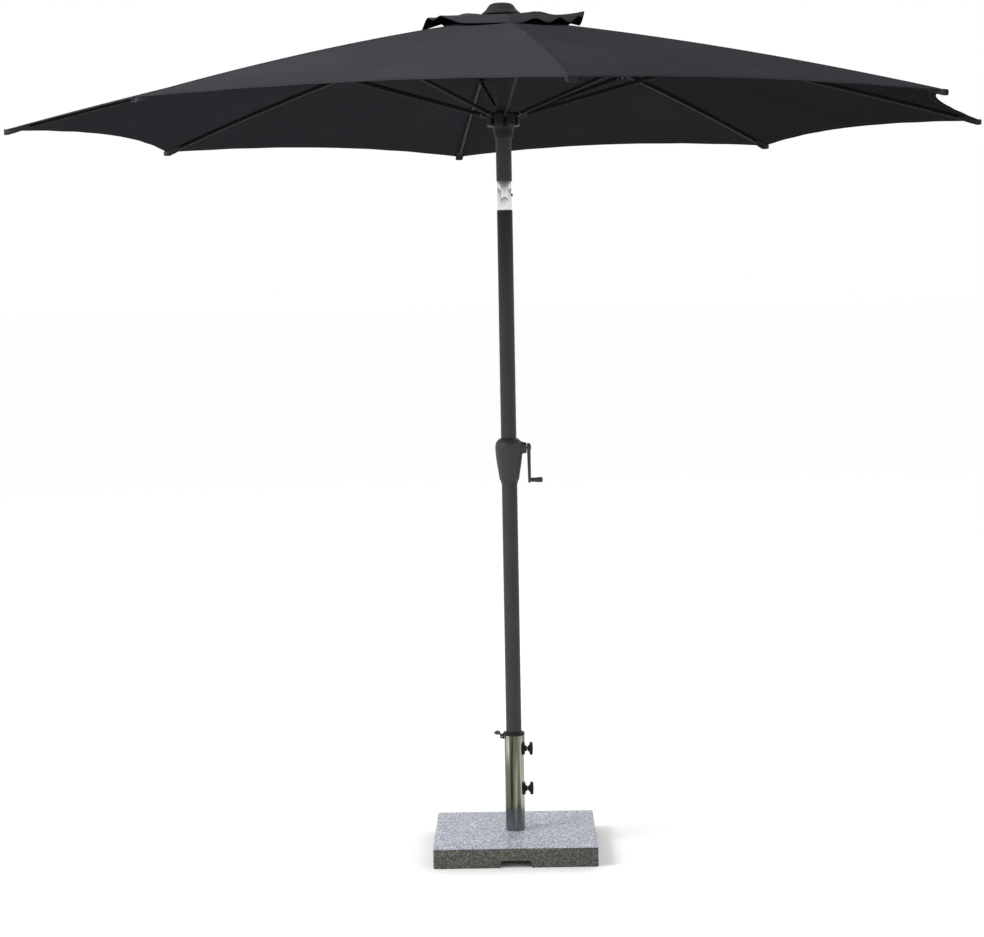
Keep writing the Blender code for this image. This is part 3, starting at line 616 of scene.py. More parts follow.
def makeTube():
    look = tubeLook
    outer, inner = look["radius"], look["radius"] - look["wall"]
    corner = 0.0006
    profile = filleted(
        [(inner, look["top"]), (outer, look["top"]), (outer, look["bottom"]), (inner, look["bottom"])],
        corner, True, 3,
    )
    piece = addPiece(
        spun(profile, 128, closed=True), "baseTube", "base", "stainless", stands=("base_tube",)
    )
    holes = [rod(look["hole"], (0.015, 0, z), (0.045, 0, z), 32) for z in look["knobs"]]
    cutBy(piece, holes)
    smooth(piece.data)


collarLook = {
    "rim": 0.0338, "bore": 0.0248, "bottom": 0.3003, "seat": 0.3603, "top": 0.3692, "pin": (-0.0375, 0.356)
}


def makeCollar():
    look = collarLook
    profile = filleted(
        [
            (look["bore"] + 0.0006, look["top"], 0.0008),
            (look["rim"], look["top"], 0.0034),
            (look["rim"], look["seat"], 0.0008),
            (0.0277, look["seat"], 0),
            (0.0277, look["bottom"], 0.0005),
            (look["bore"], look["bottom"], 0.0005),
            (look["bore"], look["top"] - 0.002, 0),
        ],
        0.0, True, 4,
    )
    piece = addPiece(
        spun(profile, 112, closed=True), "tubeCollar", "base", "black_plastic", stands=("tube_collar",)
    )
    strap = block((0.0303, -0.0055, 0.3345), (0.0326, 0.0055, 0.3640))
    cutBy(piece, [strap], "UNION")
    for side in (-1, 1):
        outline = circlePoints(*look["pin"], 0.0065, math.radians(95), math.radians(265), 16)
        outline += [(-0.0304, 0.3485), (-0.0304, 0.3604), (-0.0300, 0.3640)]
        lug = slab(outline, 0.0030)
        shift(lug, (0, side * 0.0055, 0))
        cutBy(piece, [lug], "UNION")
    upper = tubeLook["knobs"][1]
    cutBy(piece, [rod(tubeLook["hole"], (0.015, 0, upper), (0.0295, 0, upper), 32)])
    rounded(piece, 0.0004, 2, 50)
    pin = spun(filleted([(0, 0.0078), (0.0021, 0.0078), (0.0021, -0.0078), (0, -0.0078)], 0.0005), 24)
    swing(pin, math.pi / 2, "X")
    shift(pin, (look["pin"][0], 0, look["pin"][1]))
    addPiece(pin, "leverPin", "base", "steel")


leverLook = {"width": 0.0068, "neck": 0.0040, "endLength": 0.0208, "endHeight": 0.0142}


def makeLever():
    # an eye on the pin, an S-shaped neck, and a grey drop-shaped end
    line = [
        (-0.0375, 0.3560), (-0.0384, 0.3588), (-0.0402, 0.3608), (-0.0426, 0.3622), (-0.0454, 0.3640),
        (-0.0480, 0.3658)
    ]
    thick = [0.0050, 0.0046, leverLook["neck"], leverLook["neck"], leverLook["neck"], 0.0044]
    rings = []
    for i, (x, z) in enumerate(line):
        before, after = Vector(line[max(i - 1, 0)]), Vector(line[min(i + 1, len(line) - 1)])
        along = (after - before).normalized()
        across = Vector((-along.y, along.x))
        section = roundedBox(thick[i], leverLook["width"], 0.0014, 4)
        rings.append([(x + across.x * a, b, z + across.y * a) for a, b in section])
    neck = loft(rings)
    eye = slab(
        circlePoints(*collarLook["pin"], 0.0046, 0, 2 * math.pi, 28)[:-1], leverLook["width"], 0.0005
    )
    addPiece(joined(neck, eye), "leverNeck", "collar_lever", "black_plastic", stands=("collar_lever",))
    drop = []
    for i in range(40):
        angle = 2 * math.pi * i / 40
        reach = 1.0 + 0.12 * math.cos(angle - math.radians(-38)) ** 3
        drop.append(
            (-0.0522 + leverLook["endLength"] / 2 * 0.94 * reach * math.cos(angle),
             0.3674 + leverLook["endHeight"] / 2 * 0.94 * reach * math.sin(angle))
        )
    addPiece(
        slab(drop, leverLook["width"] + 0.0006, 0.0019, 4), "leverEnd", "collar_lever", "steel",
        "leverMetal"
    )


knobLook = {"radius": 0.0205, "flutes": 10, "depth": 0.0011}


def makeKnobs():
    for name, height in zip(("Lower", "Upper"), tubeLook["knobs"]):
        body = f"{name.lower()}_knob"
        spread = math.radians(34)
        outline = circlePoints(0, 0, 0.0343, -spread, spread, 24) + circlePoints(
            0, 0, 0.0303, spread, -spread, 24
        )
        pad = slab(outline, 0.035, 0.0011, 3)
        swing(pad, -math.pi / 2, "X")
        boss = spun(filleted([(0.0050, 0.0328), (0.0096, 0.0328), (0.0085, 0.0400), (0.0050, 0.0400)],
                     0.0007, True, 3),
                    48, closed=True, alongX=True)
        built = joined(pad, boss)
        shift(built, (0, 0, height))
        addPiece(built, f"clampPad{name}", "base", "black_plastic", stands=(f"knob_pad_{name.lower()}",))
        radius = knobLook["radius"]
        profile = filleted(
            [
                (0, 0.0588),
                (0.0095, 0.0588, 0.002),
                (0.0120, 0.0578, 0.002),
                (radius - 0.0022, 0.0580, 0.0020),
                (radius, 0.0560, 0.0020),
                (radius, 0.0500, 0.0020),
                (radius - 0.0022, 0.0480, 0.0016),
                (0.0135, 0.0478, 0.003),
                (0.0085, 0.0440, 0.003),
                (0.0070, 0.0412, 0.0005),
                (0.0040, 0.0412, 0),
            ],
            0.0, False, 4,
        )
        knob = spun(profile + [Vector((0.0001, 0.0412))], 120)
        for vertex in knob.verts:
            reach = math.hypot(vertex.co.x, vertex.co.y)
            if reach > 0.0150:
                angle = math.atan2(vertex.co.y, vertex.co.x)
                share = min(1.0, (reach - 0.0150) / 0.003)
                dip = knobLook["depth"] * share * (0.5 - 0.5 * math.cos(knobLook["flutes"] * angle)) ** 2
                vertex.co.x *= 1 - dip / reach
                vertex.co.y *= 1 - dip / reach
        swing(knob, math.pi / 2, "Y")
        shift(knob, (0, 0, height))
        addPiece(knob, f"clampKnob{name}", body, "black_plastic", stands=(f"clamp_knob_{name.lower()}",))
        screw = spun(
            filleted([(0, 0.0430), (0.0039, 0.0430), (0.0039, 0.0247), (0, 0.0247)], 0.0006), 40,
            alongX=True
        )
        shift(screw, (0, 0, height))
        addPiece(screw, f"clampScrew{name}", body, "steel")


finishes["leverMetal"] = makeMetal("castZinc", (0.085, 0.085, 0.088), 0.42, (2.0, 2.0, 2.0), 0.2)
makeSlab()
makeTube()
makeCollar()
makeLever()
makeKnobs()
print("base made")


poleLook = {"radius": 0.024, "wall": 0.0015, "foot": 0.075, "joint": 1.155}


def makePoles():
    outer, inner = poleLook["radius"], poleLook["radius"] - poleLook["wall"]
    runs = (
        ("lowerPole", "lower_post", poleLook["foot"], poleLook["joint"] - 0.0002, "lower_pole"),
        ("middlePole", "lower_post", poleLook["joint"] + 0.0002, 1.9897, "middle_pole"),
        ("upperPole", "upper_post", 2.0783, 2.543, "upper_pole"),
    )
    for name, body, low, high, node in runs:
        profile = filleted([(inner, high), (outer, high), (outer, low), (inner, low)], 0.0004, True, 2)
        addPiece(spun(profile, 112, closed=True), name, body, "pole_paint", stands=(node,))


housingLook = {
    "outline": (
        (0.0252, 1.2890, 0.0006),
        (0.0330, 1.2842, 0.0040),
        (0.0402, 1.2752, 0.0060),
        (0.0425, 1.2620, 0.0080),
        (0.0418, 1.2450, 0.0120),
        (0.0385, 1.2120, 0.0200),
        (0.0335, 1.1830, 0.0200),
        (0.0303, 1.1610, 0.0040),
        (0.0298, 1.1585, 0.0010),
        (0.0272, 1.1580, 0.0010),
        (0.0266, 1.1490, 0.0012),
    ),
    "wall": 0.0022,
    "bore": 0.0243,
    "boss": (
        (0.0235, 0.0330, 0), (0.0180, 0.0440, 0.004), (0.0162, 0.0548, 0.0014), (0.0048, 0.0550, 0.0004)
    ),
    "height": 1.258,
}


def makeHousing():
    look = housingLook
    outside = filleted([tuple(p) for p in look["outline"]], 0.0, False, 5)
    inside = [Vector((max(p[0] - look["wall"], look["bore"]), p[1])) for p in outside]
    inside[0].x = look["bore"]
    for side, name in ((math.pi, "Front"), (0.0, "Back")):
        way = -1 if name == "Front" else 1
        shell = spun(outside + inside[::-1], 72, math.pi, closed=True, start=side)
        bmesh.ops.holes_fill(shell, edges=[e for e in shell.edges if e.is_boundary])
        boss = spun(
            filleted(look["boss"], 0.0, False, 4) + [Vector((0.0048, 0.0330))], 40, math.pi, True, True,
            start=side
        )
        bmesh.ops.holes_fill(boss, edges=[e for e in boss.edges if e.is_boundary])
        shift(boss, (0, 0, look["height"]))
        built = joined(shell, boss)
        shift(built, (0, way * 0.00018, 0))
        node = f"crank_housing_{name.lower()}"
        addPiece(built, f"crankHousing{name}", "lower_post", "housing_plastic", stands=(node,))


armLook = {"start": 0.0558, "thick": 0.0112, "length": 0.100, "eye": 0.0140, "foot": 0.0088}


def makeCrank():
    look = armLook
    eye = circlePoints(0, 0, look["eye"], math.radians(-4), math.radians(184), 36)
    foot = circlePoints(0, -look["length"], look["foot"], math.radians(176), math.radians(364), 24)
    arm = slab(eye + foot, look["thick"], 0.0024, 4, plane="YZ")
    end = look["start"] + look["thick"]
    for vertex in arm.verts:
        drop = min(1.0, max(0.0, -vertex.co.z / look["length"]))
        reach = vertex.co.x + look["thick"] / 2
        thinner = 1 - 0.20 * drop
        vertex.co.x = end - (look["thick"] - reach) * thinner
        vertex.co.z += housingLook["height"]
    addPiece(arm, "crankArm", "crank", "housing_plastic", stands=("crank_arm",))
    cap = spun(
        filleted([(0, 0.0019), (0.0062, 0.0016), (0.0070, 0.0), (0.0070, -0.001), (0, -0.001)], 0.0009), 48,
        alongX=True
    )
    shift(cap, (end, 0, housingLook["height"]))
    addPiece(cap, "crankCap", "crank", "housing_plastic")
    shaft = spun([(0, end - 0.0015), (0.0039, end - 0.0015), (0.0039, 0.050), (0, 0.050)], 32, alongX=True, at=(0, 0, housingLook["height"]))
    addPiece(shaft, "crankShaft", "crank", "steel")
    start = end + 0.0005
    low = housingLook["height"] - look["length"]
    pin = spun(
        [(0, start + 0.033), (0.0034, start + 0.033), (0.0034, start - 0.004), (0, start - 0.004)], 32,
        alongX=True
    )
    shift(pin, (0, 0, low))
    addPiece(pin, "gripPin", "crank", "steel")
    profile = [(0, start + 0.0360)]
    for share, radius in ((0.995, 0.0038), (0.97, 0.0062), (0.925, 0.0077), (0.86, 0.0083), (0.72, 0.0082),
                          (0.52, 0.0076),
                          (0.30, 0.0069), (0.12, 0.0066), (0.05, 0.0067), (0.015, 0.0064), (0.0, 0.0058)):
        profile.append((radius, start + 0.0360 * share))
    profile += [(0.0038, start), (0.0038, start + 0.034), (0, start + 0.034)]
    grip = spun(profile, 72, alongX=True, at=(0, 0, low))
    addPiece(grip, "crankGrip", "grip", "housing_plastic", stands=("crank_grip",))


makePoles()
makeHousing()
makeCrank()
print("pole and crank made")


tiltLook = {
    "bottom": 1.990, "height": 2.036, "top": 2.078, "radius": 0.02175, "tongue": 0.0110, "edge": 0.0006
}


def roundOutline(radius, upward, reach):
    # a half disc about the pin with straight sides that run up or down from it
    if upward:
        return circlePoints(0, 0, radius, math.pi, 2 * math.pi, 48) + [(radius, reach), (-radius, reach)]
    return circlePoints(0, 0, radius, 0, math.pi, 48) + [(-radius, -reach), (radius, -reach)]


def acrossPin(outline, low, high):
    built = slab(outline, high - low, plane="YZ")
    shift(built, ((low + high) / 2, 0, tiltLook["height"]))
    return built


def makeTilt():
    look = tiltLook
    radius, height = look["radius"], look["height"]
    keep, clear = radius + 0.0004, radius + 0.0008
    spigot = 0.0217
    lower = spun(
        [(0, height + radius), (radius, height + radius), (radius, look["bottom"]), (spigot, look["bottom"]),
         (spigot, look["bottom"] - 0.040), (0, look["bottom"] - 0.040)], 96)
    fork = addPiece(lower, "tiltFork", "lower_post", "silver", stands=("tilt_socket",))
    cutBy(fork, [acrossPin(roundOutline(keep, False, 0.12), -0.04, 0.04)], "INTERSECT")
    half = look["tongue"] + 0.0003
    cutBy(fork, [acrossPin(roundOutline(clear, True, 0.06), -half, half)])
    cutBy(
        fork,
        [
            rod(0.0043, (-0.05, 0, height), (0.012, 0, height), 40),
            rod(0.0048, (0.010, 0, height), (0.05, 0, height), 40)
        ]
    )
    rounded(fork, look["edge"], 2, 50)
    upper = spun(
        [(0, look["top"] + 0.040), (spigot, look["top"] + 0.040), (spigot, look["top"]), (radius, look["top"]),
         (radius, height - radius), (0, height - radius)], 96)
    tongue = addPiece(upper, "tiltTongue", "upper_post", "silver", stands=("tilt_knuckle",))
    cutBy(tongue, [acrossPin(roundOutline(keep, True, 0.10), -0.04, 0.04)], "INTERSECT")
    for side in (-1, 1):
        low, high = sorted((side * look["tongue"], side * 0.05))
        cutBy(tongue, [acrossPin(roundOutline(clear, False, 0.06), low, high)])
    cutBy(tongue, [rod(0.0043, (-0.05, 0, height), (0.05, 0, height), 40)])
    rounded(tongue, look["edge"], 2, 50)
    for name, node, body, slotName, profile in (
        ("tiltPin", "tilt_pin", "lower_post", "steel",
         [(0, 0.0100), (0.0040, 0.0100), (0.0040, -0.0208, 0.001), (0.0030, -0.0218, 0.0005), (0, -0.0220)]),
        ("tiltButton", "tilt_button", "tilt_button", "black_plastic",
         [(0, 0.0257), (0.0045, 0.0253, 0.0016), (0.0045, 0.0143), (0, 0.0143)]),
    ):
        turned = spun(filleted(profile, 0.0003), 48, alongX=True, at=(0, 0, height))
        addPiece(turned, name, body, slotName, stands=(node,))


makeTilt()
print("tilt joint made")


ribCount = 8
hinge = (0.040, 2.558)
ribAngles = [math.radians(6.5 - 90 + 45 * i) for i in range(ribCount)]


def cutSlots(piece, low, high, start=0.034, half=0.0055):
    for angle in ribAngles:
        slot = block((start, -half, low), (0.09, half, high))
        swing(slot, angle, "Z")
        cutBy(piece, [slot])


def makeCrown():
    profile = filleted(
        [(0, 2.564, 0), (0.0065, 2.564, 0), (0.0065, 2.572, 0.0005), (0.052, 2.572, 0.003),
         (0.052, 2.544, 0.003),
         (0.0310, 2.544, 0.003), (0.0290, 2.513, 0.0015), (0.0243, 2.513, 0.0005), (0.0243, 2.5433, 0),
         (0, 2.5433, 0)],
        0.0, False, 4,
    )
    piece = addPiece(spun(profile, 96), "crownHub", "upper_post", "black_plastic", stands=("crown",))
    cutSlots(piece, 2.534, 2.583)
    ringGroove = spun(
        circlePoints(hinge[0], 0, 0.0017, 0, 2 * math.pi, 12)[:-1], 96, closed=True, at=(0, 0, hinge[1])
    )
    cutBy(piece, [ringGroove])
    rounded(piece, 0.0005, 2, 50)
    ring = spun(
        circlePoints(hinge[0], 0, 0.0012, 0, 2 * math.pi, 12)[:-1], 96, closed=True, at=(0, 0, hinge[1])
    )
    addPiece(ring, "crownRing", "upper_post", "steel", stands=("crown_ring",))
    wheel = spun(
        filleted([(0, 0.0238), (0.0030, 0.0238), (0.0030, 0.0045), (0.0130, 0.0045), (0.0100, 0.0, 0.003),
                  (0.0130, -0.0045), (0.0030, -0.0045), (0.0030, -0.0238),
                  (0, -0.0238)], 0.0004), 56, alongX=True)
    shift(wheel, (0, 0, 2.528))
    addPiece(wheel, "crownPulley", "pulley", "black_plastic", stands=("crown_pulley",))


finialLook = {
    "outline": (
        (0, 2.6178, 0), (0.0250, 2.6176, 0.006), (0.0350, 2.6140, 0.004), (0.0405, 2.6075, 0.004), (
            0.0450, 2.6000, 0.005
        ),
        (0.0520, 2.5925, 0.005), (0.0602, 2.5868, 0.0015), (0.0606, 2.5826, 0.001), (0.0100, 2.5818, 0.002),
        (0.0062, 2.5790, 0.001), (0.0062, 2.5645, 0.0008), (0, 2.5645, 0),
    ),
}


def makeFinial():
    built = spun(filleted(finialLook["outline"], 0.0, False, 5), 96)
    addPiece(built, "finialCap", "upper_post", "black_plastic", "finial", stands=("finial",))


def makeRunner():
    profile = filleted(
        [(0.0248, 2.286, 0.0008), (0.052, 2.286, 0.0040), (0.052, 2.245, 0.0050), (0.0345, 2.245, 0.004),
         (0.0310, 2.236, 0.004), (0.0288, 2.219, 0.003), (0.0275, 2.211, 0.0012), (0.0248, 2.211, 0.0006)],
        0.0, True, 5,
    )
    piece = addPiece(
        spun(profile, 96, closed=True), "runnerHub", "runner", "black_plastic", stands=("runner",)
    )
    cutSlots(piece, 2.235, 2.30)
    rounded(piece, 0.0005, 2, 50)


makeCrown()
makeFinial()
makeRunner()
print("crown and runner made")


tipRadius = 1.488
ribDrop = 0.313
ribBow = 0.018
bracketRadius = 0.620
footPlace = (0.045, 2.275)


def ribHeight(radius):
    share = (radius - hinge[0]) / (tipRadius - hinge[0])
    return hinge[1] - ribDrop * share + 4 * ribBow * share * (1 - share)


bracketPlace = (bracketRadius, ribHeight(bracketRadius) - 0.016)


def roundRibs(built, name, slotName, finish=None, node=None, body="rib", sharp=35.0, cuts=(), edge=0.0):
    # makes one copy of a piece for every rib; it is drawn for a rib that points along +X
    first = addPiece(built, name + "First", f"{body}_1", slotName, finish, sharp=sharp)
    if cuts:
        cutBy(first, cuts)
    if edge:
        rounded(first, edge, 2, 50)
    made = []
    for i, angle in enumerate(ribAngles):
        mesh = first.data.copy()
        mesh.transform(Matrix.Rotation(angle, 4, "Z"))
        mesh.name = f"{name}{i + 1}"
        piece = linked(mesh.name, mesh)
        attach(piece, f"{body}_{i + 1}")
        if node:
            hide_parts(f"{node}_{i + 1}")
        made.append(piece)
    bpy.data.objects.remove(first, do_unlink=True)
    return made


def barAlong(points, widths, heights, corner):
    # a rounded bar that follows points (radius, height), upright across its run
    rings = []
    for i, (x, z) in enumerate(points):
        before, after = Vector(points[max(i - 1, 0)]), Vector(points[min(i + 1, len(points) - 1)])
        along = (after - before).normalized()
        up = Vector((-along.y, along.x))
        section = roundedBox(widths[i], heights[i], corner, 3)
        rings.append([(x + up.x * b, a, z + up.y * b) for a, b in section])
    return loft(rings)


def rivet(radius, half, at):
    profile = [(0, half), (radius * 0.6, half - 0.0002), (radius, half - 0.0008), (radius, -half + 0.0008),
               (radius * 0.6, -half + 0.0002), (0, -half)]
    built = spun(profile, 24)
    swing(built, math.pi / 2, "X")
    shift(built, (at[0], 0, at[1]))
    return built


def makeRibs():
    count = 28
    start = hinge[0] + 0.022
    radii = [start + (tipRadius - 0.002 - start) * i / count for i in range(count + 1)]
    points = [(r, ribHeight(r)) for r in radii]
    heights = [0.014 * (1 - 0.25 * i / count) for i in range(count + 1)]
    roundRibs(barAlong(points, [0.010] * (count + 1), heights, 0.0024), "ribBar", "rib_paint", node="rib")
    # the end fitting: an eye on the wire ring and a sleeve on the bar
    eye = circlePoints(hinge[0], hinge[1], 0.0056, math.radians(60), math.radians(300), 20)
    lower = [(r, ribHeight(r) - 0.0075) for r in (0.052, 0.074)]
    upper = [(r, ribHeight(r) + 0.0075) for r in (0.074, 0.052)]
    outline = eye + lower + upper
    roundRibs(slab(filleted([tuple(p) + (0,) for p in outline], 0, True), 0.0104, 0.0006),
              "ribEnd", "rib_paint",
              "black_plastic", cuts=[turnedRod(0.0016, hinge)])
    roundRibs(rivet(0.0022, 0.0057, (0.064, ribHeight(0.064))), "ribRivet", "steel")
    # a cap on the tip, mostly in the pocket
    capPoints = [(r, ribHeight(min(r, tipRadius))) for r in (1.462, 1.470, 1.480, 1.4865, 1.4895)]
    roundRibs(barAlong(capPoints, [0.0112, 0.0116, 0.0116, 0.0108, 0.0080], [0.0120, 0.0124, 0.0124, 0.0116, 0.0088],
                       0.0028),
              "ribCap", "rib_paint", "black_plastic")


def turnedRod(radius, at):
    return rod(radius, (at[0], -0.02, at[1]), (at[0], 0.02, at[1]), 20)


def makeStruts():
    pivot, foot = Vector(bracketPlace), Vector(footPlace)
    along = (foot - pivot).normalized()
    count = 12
    near, far = pivot + along * 0.018, foot - along * 0.018
    points = [tuple(near + (far - near) * i / count) for i in range(count + 1)]
    roundRibs(
        barAlong(points, [0.008] * (count + 1), [0.012] * (count + 1), 0.0022), "strutBar", "rib_paint",
        node="strut", body="strut"
    )
    lean = math.atan2(along.y, along.x)
    across = Vector((-along.y, along.x))
    for name, centre, way in (("strutTop", pivot, 1), ("strutFoot", foot, -1)):
        turn = lean if way == 1 else lean + math.pi
        eye = circlePoints(
            centre.x, centre.y, 0.0057, turn + math.radians(60), turn + math.radians(300), 20
        )
        sleeve = [centre + along * way * 0.012 - across * way * 0.0064, centre + along * way * 0.032 - across * way * 0.0064,
                  centre + along * way * 0.032 + across * way * 0.0064,
                  centre + along * way * 0.012 + across * way * 0.0064]
        outline = eye + [tuple(p) for p in sleeve]
        roundRibs(slab(outline, 0.0084, 0.0006), name, "rib_paint", "black_plastic", body="strut",
                  cuts=[turnedRod(0.0022, (centre.x, centre.y))])
    rivetPlace = pivot + along * 0.024
    roundRibs(rivet(0.0020, 0.0046, tuple(rivetPlace)), "strutRivet", "steel", body="strut")
    rivetPlace = foot - along * 0.024
    roundRibs(rivet(0.0020, 0.0046, tuple(rivetPlace)), "strutFootRivet", "steel", body="strut")
    roundRibs(rivet(0.0019, 0.0053, footPlace), "strutFootPin", "steel", body="strut")


def makeBrackets():
    slope = math.atan2(ribHeight(bracketRadius + 0.01) - ribHeight(bracketRadius - 0.01), 0.02)
    top, length = 0.0085, 0.032
    outline = [(-length / 2, top, 0), (-length / 2, top - 0.0045, 0.002), (-0.0075, -0.0035, 0.003),
               (-0.0045, -0.0066, 0.003),
               (0.0045, -0.0066, 0.003), (0.0075, -0.0035, 0.003), (length / 2, top - 0.0045, 0.002),
               (length / 2, top, 0)]
    cosine, sine = math.cos(slope), math.sin(slope)
    placed = [(bracketPlace[0] + p.x * cosine - p.y * sine, bracketPlace[1] + p.x * sine + p.y * cosine)
              for p in filleted(outline, 0.0, True)]
    slot = block(
        (bracketPlace[0] - 0.03, -0.0043, bracketPlace[1] - 0.02),
        (bracketPlace[0] + 0.03, 0.0043, bracketPlace[1] + 0.0061)
    )
    roundRibs(slab(placed, 0.017), "bracket", "black_plastic", node="rib_bracket", cuts=[slot], edge=0.0007)
    roundRibs(rivet(0.0024, 0.0094, bracketPlace), "bracketPin", "steel")
    # a strap round the rib, which holds the clip
    middle = (bracketPlace[0], ribHeight(bracketPlace[0]))
    rings = []
    for x, grow in ((-0.0125, -0.0004), (-0.0118, 0.0), (0.0118, 0.0), (0.0125, -0.0004)):
        section = roundedBox(0.0134 + 2 * grow, 0.0163 + 2 * grow, 0.0028, 4)
        rings.append(
            [(middle[0] + x * cosine - b * sine, a, middle[1] + x * sine + b * cosine) for a, b in section]
        )
    roundRibs(loft(rings), "bracketStrap", "black_plastic")


makeRibs()
makeStruts()
makeBrackets()
print("ribs and struts made")


halfGore = math.pi / ribCount
canopyLook = {
    "start": 0.058,
    "radius": 1.500,
    "hollow": 0.070,
    "lift": 0.0078,
    "thick": 0.0011,
    "sag": 0.009,
    "rows": 80,
    "columns": 48,
    "keep": 0.066,
}


def hemReach(share):
    hollow = canopyLook["hollow"] / math.cos(halfGore)
    return canopyLook["radius"] - hollow * (1 - (1 - share) ** 2)


def clothPoint(share, out, number=0):
    # a point on the cloth of one rib, which points along +X: share runs from -1 to 1 across, out from 0 to 1
    side = abs(share)
    reach = canopyLook["start"] + (hemReach(side) - canopyLook["start"]) * out
    across = math.copysign(reach * side * math.sin(halfGore), share)
    height = ribHeight(reach) + canopyLook["lift"]
    between = 1 - (1 - side) ** 2
    height -= canopyLook["sag"] * between * math.sin(math.pi * min(1.0, out * 1.08)) * min(1.0, out * 3)
    # pulls that fan out from the tip and the pole, and fade before the middle of the gore
    calm = side**0.8 * (1 - side**2) ** 2
    pull = math.sin(side * 21 + out * 4 + number * 1.7 + (1.3 if share > 0 else 0.0))
    height += 0.0016 * calm * pull * max(0.0, out * 2.6 - 1.6) ** 2
    pull = math.sin(side * 17 + number * 2.3 + (0.7 if share > 0 else 0.0))
    height += 0.0010 * calm * pull * max(0.0, 1 - out * 4) ** 2
    return Vector((reach - abs(across) * math.sin(halfGore), across * math.cos(halfGore), height))


def clothNormal(share, out, number=0):
    step = 0.004
    low, high = max(-1.0, share - step), min(1.0, share + step)
    first = clothPoint(high, out, number) - clothPoint(low, out, number)
    second = clothPoint(share, min(1.0, out + step), number) - clothPoint(
        share, max(0.0, out - step), number
    )
    normal = second.cross(first)
    return normal.normalized() if normal.z > 0 else -normal.normalized()


def layCloth(built):
    # the weave runs along the middle of each gore, so it meets at an angle along a rib
    layer = built.loops.layers.uv.new("cloth")
    for face in built.faces:
        side = 1 if face.calc_center_median().y >= 0 else -1
        turn = -side * halfGore
        for loop in face.loops:
            p = loop.vert.co
            loop[layer].uv = (
                p.x * math.sin(turn) + p.y * math.cos(turn) + side * 3.0,
                (p.x * math.cos(turn) - p.y * math.sin(turn)) * 1.02,
            )


def paintGoreShade(piece, number):
    # each gore's tone is painted lighter or darker, as painted light and shade; the gore after a rib has the rib's own
    # number
    layer = piece.data.color_attributes.new("fade", "FLOAT_COLOR", "CORNER")
    angle = ribAngles[number]
    across = Vector((-math.sin(angle), math.cos(angle), 0))
    for polygon in piece.data.polygons:
        side = 0 if polygon.center.dot(across) >= 0 else -1
        value = clothLook["fade"][(number + side) % ribCount]
        for loop in polygon.loop_indices:
            layer.data[loop].color = (value, value, value, 1.0)


def hangCloth(built, name, number, finish=None, stands=()):
    # turns a piece of the cloth to its rib, which it rides
    layCloth(built)
    built.normal_update()
    for face in built.faces:
        # faces that point down take the darker copy of the cloth: painted shade on the underside
        face.material_index = 1 if face.normal.z < -0.3 else 0
    angle = ribAngles[number]
    swing(built, angle, "Z")
    piece = addPiece(
        built, f"{name}{number + 1}", f"rib_{number + 1}", "canopy_cloth", finish, stands, 40.0
    )
    piece.data.materials.append(finishes["thread" if finish == "thread" else "shadedCloth"])
    paintGoreShade(piece, number)
    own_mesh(piece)
    return piece


def thicken(built, thickness):
    # the grid is the upper face; the lower one and the rim are added below it
    bmesh.ops.recalc_face_normals(built, faces=built.faces)
    if sum(f.normal.z for f in built.faces) < 0:
        bmesh.ops.reverse_faces(built, faces=built.faces)
    bmesh.ops.solidify(built, geom=built.faces[:], thickness=thickness)
    return built


def makePanel(number):
    look = canopyLook
    built = bmesh.new()
    bmesh.ops.create_grid(built, x_segments=look["rows"], y_segments=look["columns"], size=1.0)
    for vertex in built.verts:
        vertex.co = clothPoint(vertex.co.y, (vertex.co.x + 1) / 2, number)
    thicken(built, look["thick"])
    return hangCloth(built, "canopyPanel", number, stands=(f"canopy_panel_{number + 1}",))


def bandAlong(stations, section):
    # stations are (share, out, number); the section is (distance in from the hem, height above the cloth)
    rings = []
    for share, out, number in stations:
        rings.append([])
        for along, lift in section:
            reach = hemReach(abs(share)) - canopyLook["start"]
            rings[-1].append(
                clothPoint(share, out - along / reach, number) + clothNormal(share, out - along / reach, number) * lift
            )
    return loft(rings)


hemLook = {"wide": 0.024, "stations": 48, "stitch": 0.0032, "gap": 0.0050}


def makeHem(number):
    thick = canopyLook["thick"]
    section = [
        (hemLook["wide"], 0.0005), (0.0020, 0.0009), (-0.0004, 0.0006), (-0.0012, -thick / 2),
        (-0.0004, -thick - 0.0010), (0.0020, -thick - 0.0013), (hemLook["wide"], -thick - 0.0011),
        (hemLook["wide"] + 0.0008, -thick + 0.0003), (hemLook["wide"] + 0.0008, -0.0003),
    ]
    count = hemLook["stations"]
    stations = [(-1 + 2 * i / count, 1.0, number) for i in range(count + 1)]
    return hangCloth(bandAlong(stations, section), "canopyHem", number, finish="lining")


def makeSeam(number):
    # the two gores are felled together along the rib, in a flat band
    half = 0.0065
    rings = []
    count = 60
    for i in range(count + 1):
        out = 0.004 + (0.985 - 0.004) * i / count
        reach = canopyLook["start"] + (canopyLook["radius"] - canopyLook["start"]) * out
        share = half / (reach * math.sin(halfGore))
        top = clothPoint(0, out, number)
        left, right = clothPoint(-min(share, 1), out, number), clothPoint(min(share, 1), out, number)
        up = Vector((0, 0, 1))
        rings.append([left - up * 0.0004, left + up * 0.0006, top + up * 0.0009 - Vector((0, half * 0.4, 0)),
                      top + up * 0.0009 + Vector((0, half * 0.4, 0)), right + up * 0.0006,
                      right - up * 0.0004])
    return hangCloth(loft(rings), "canopySeam", number, finish="lining")


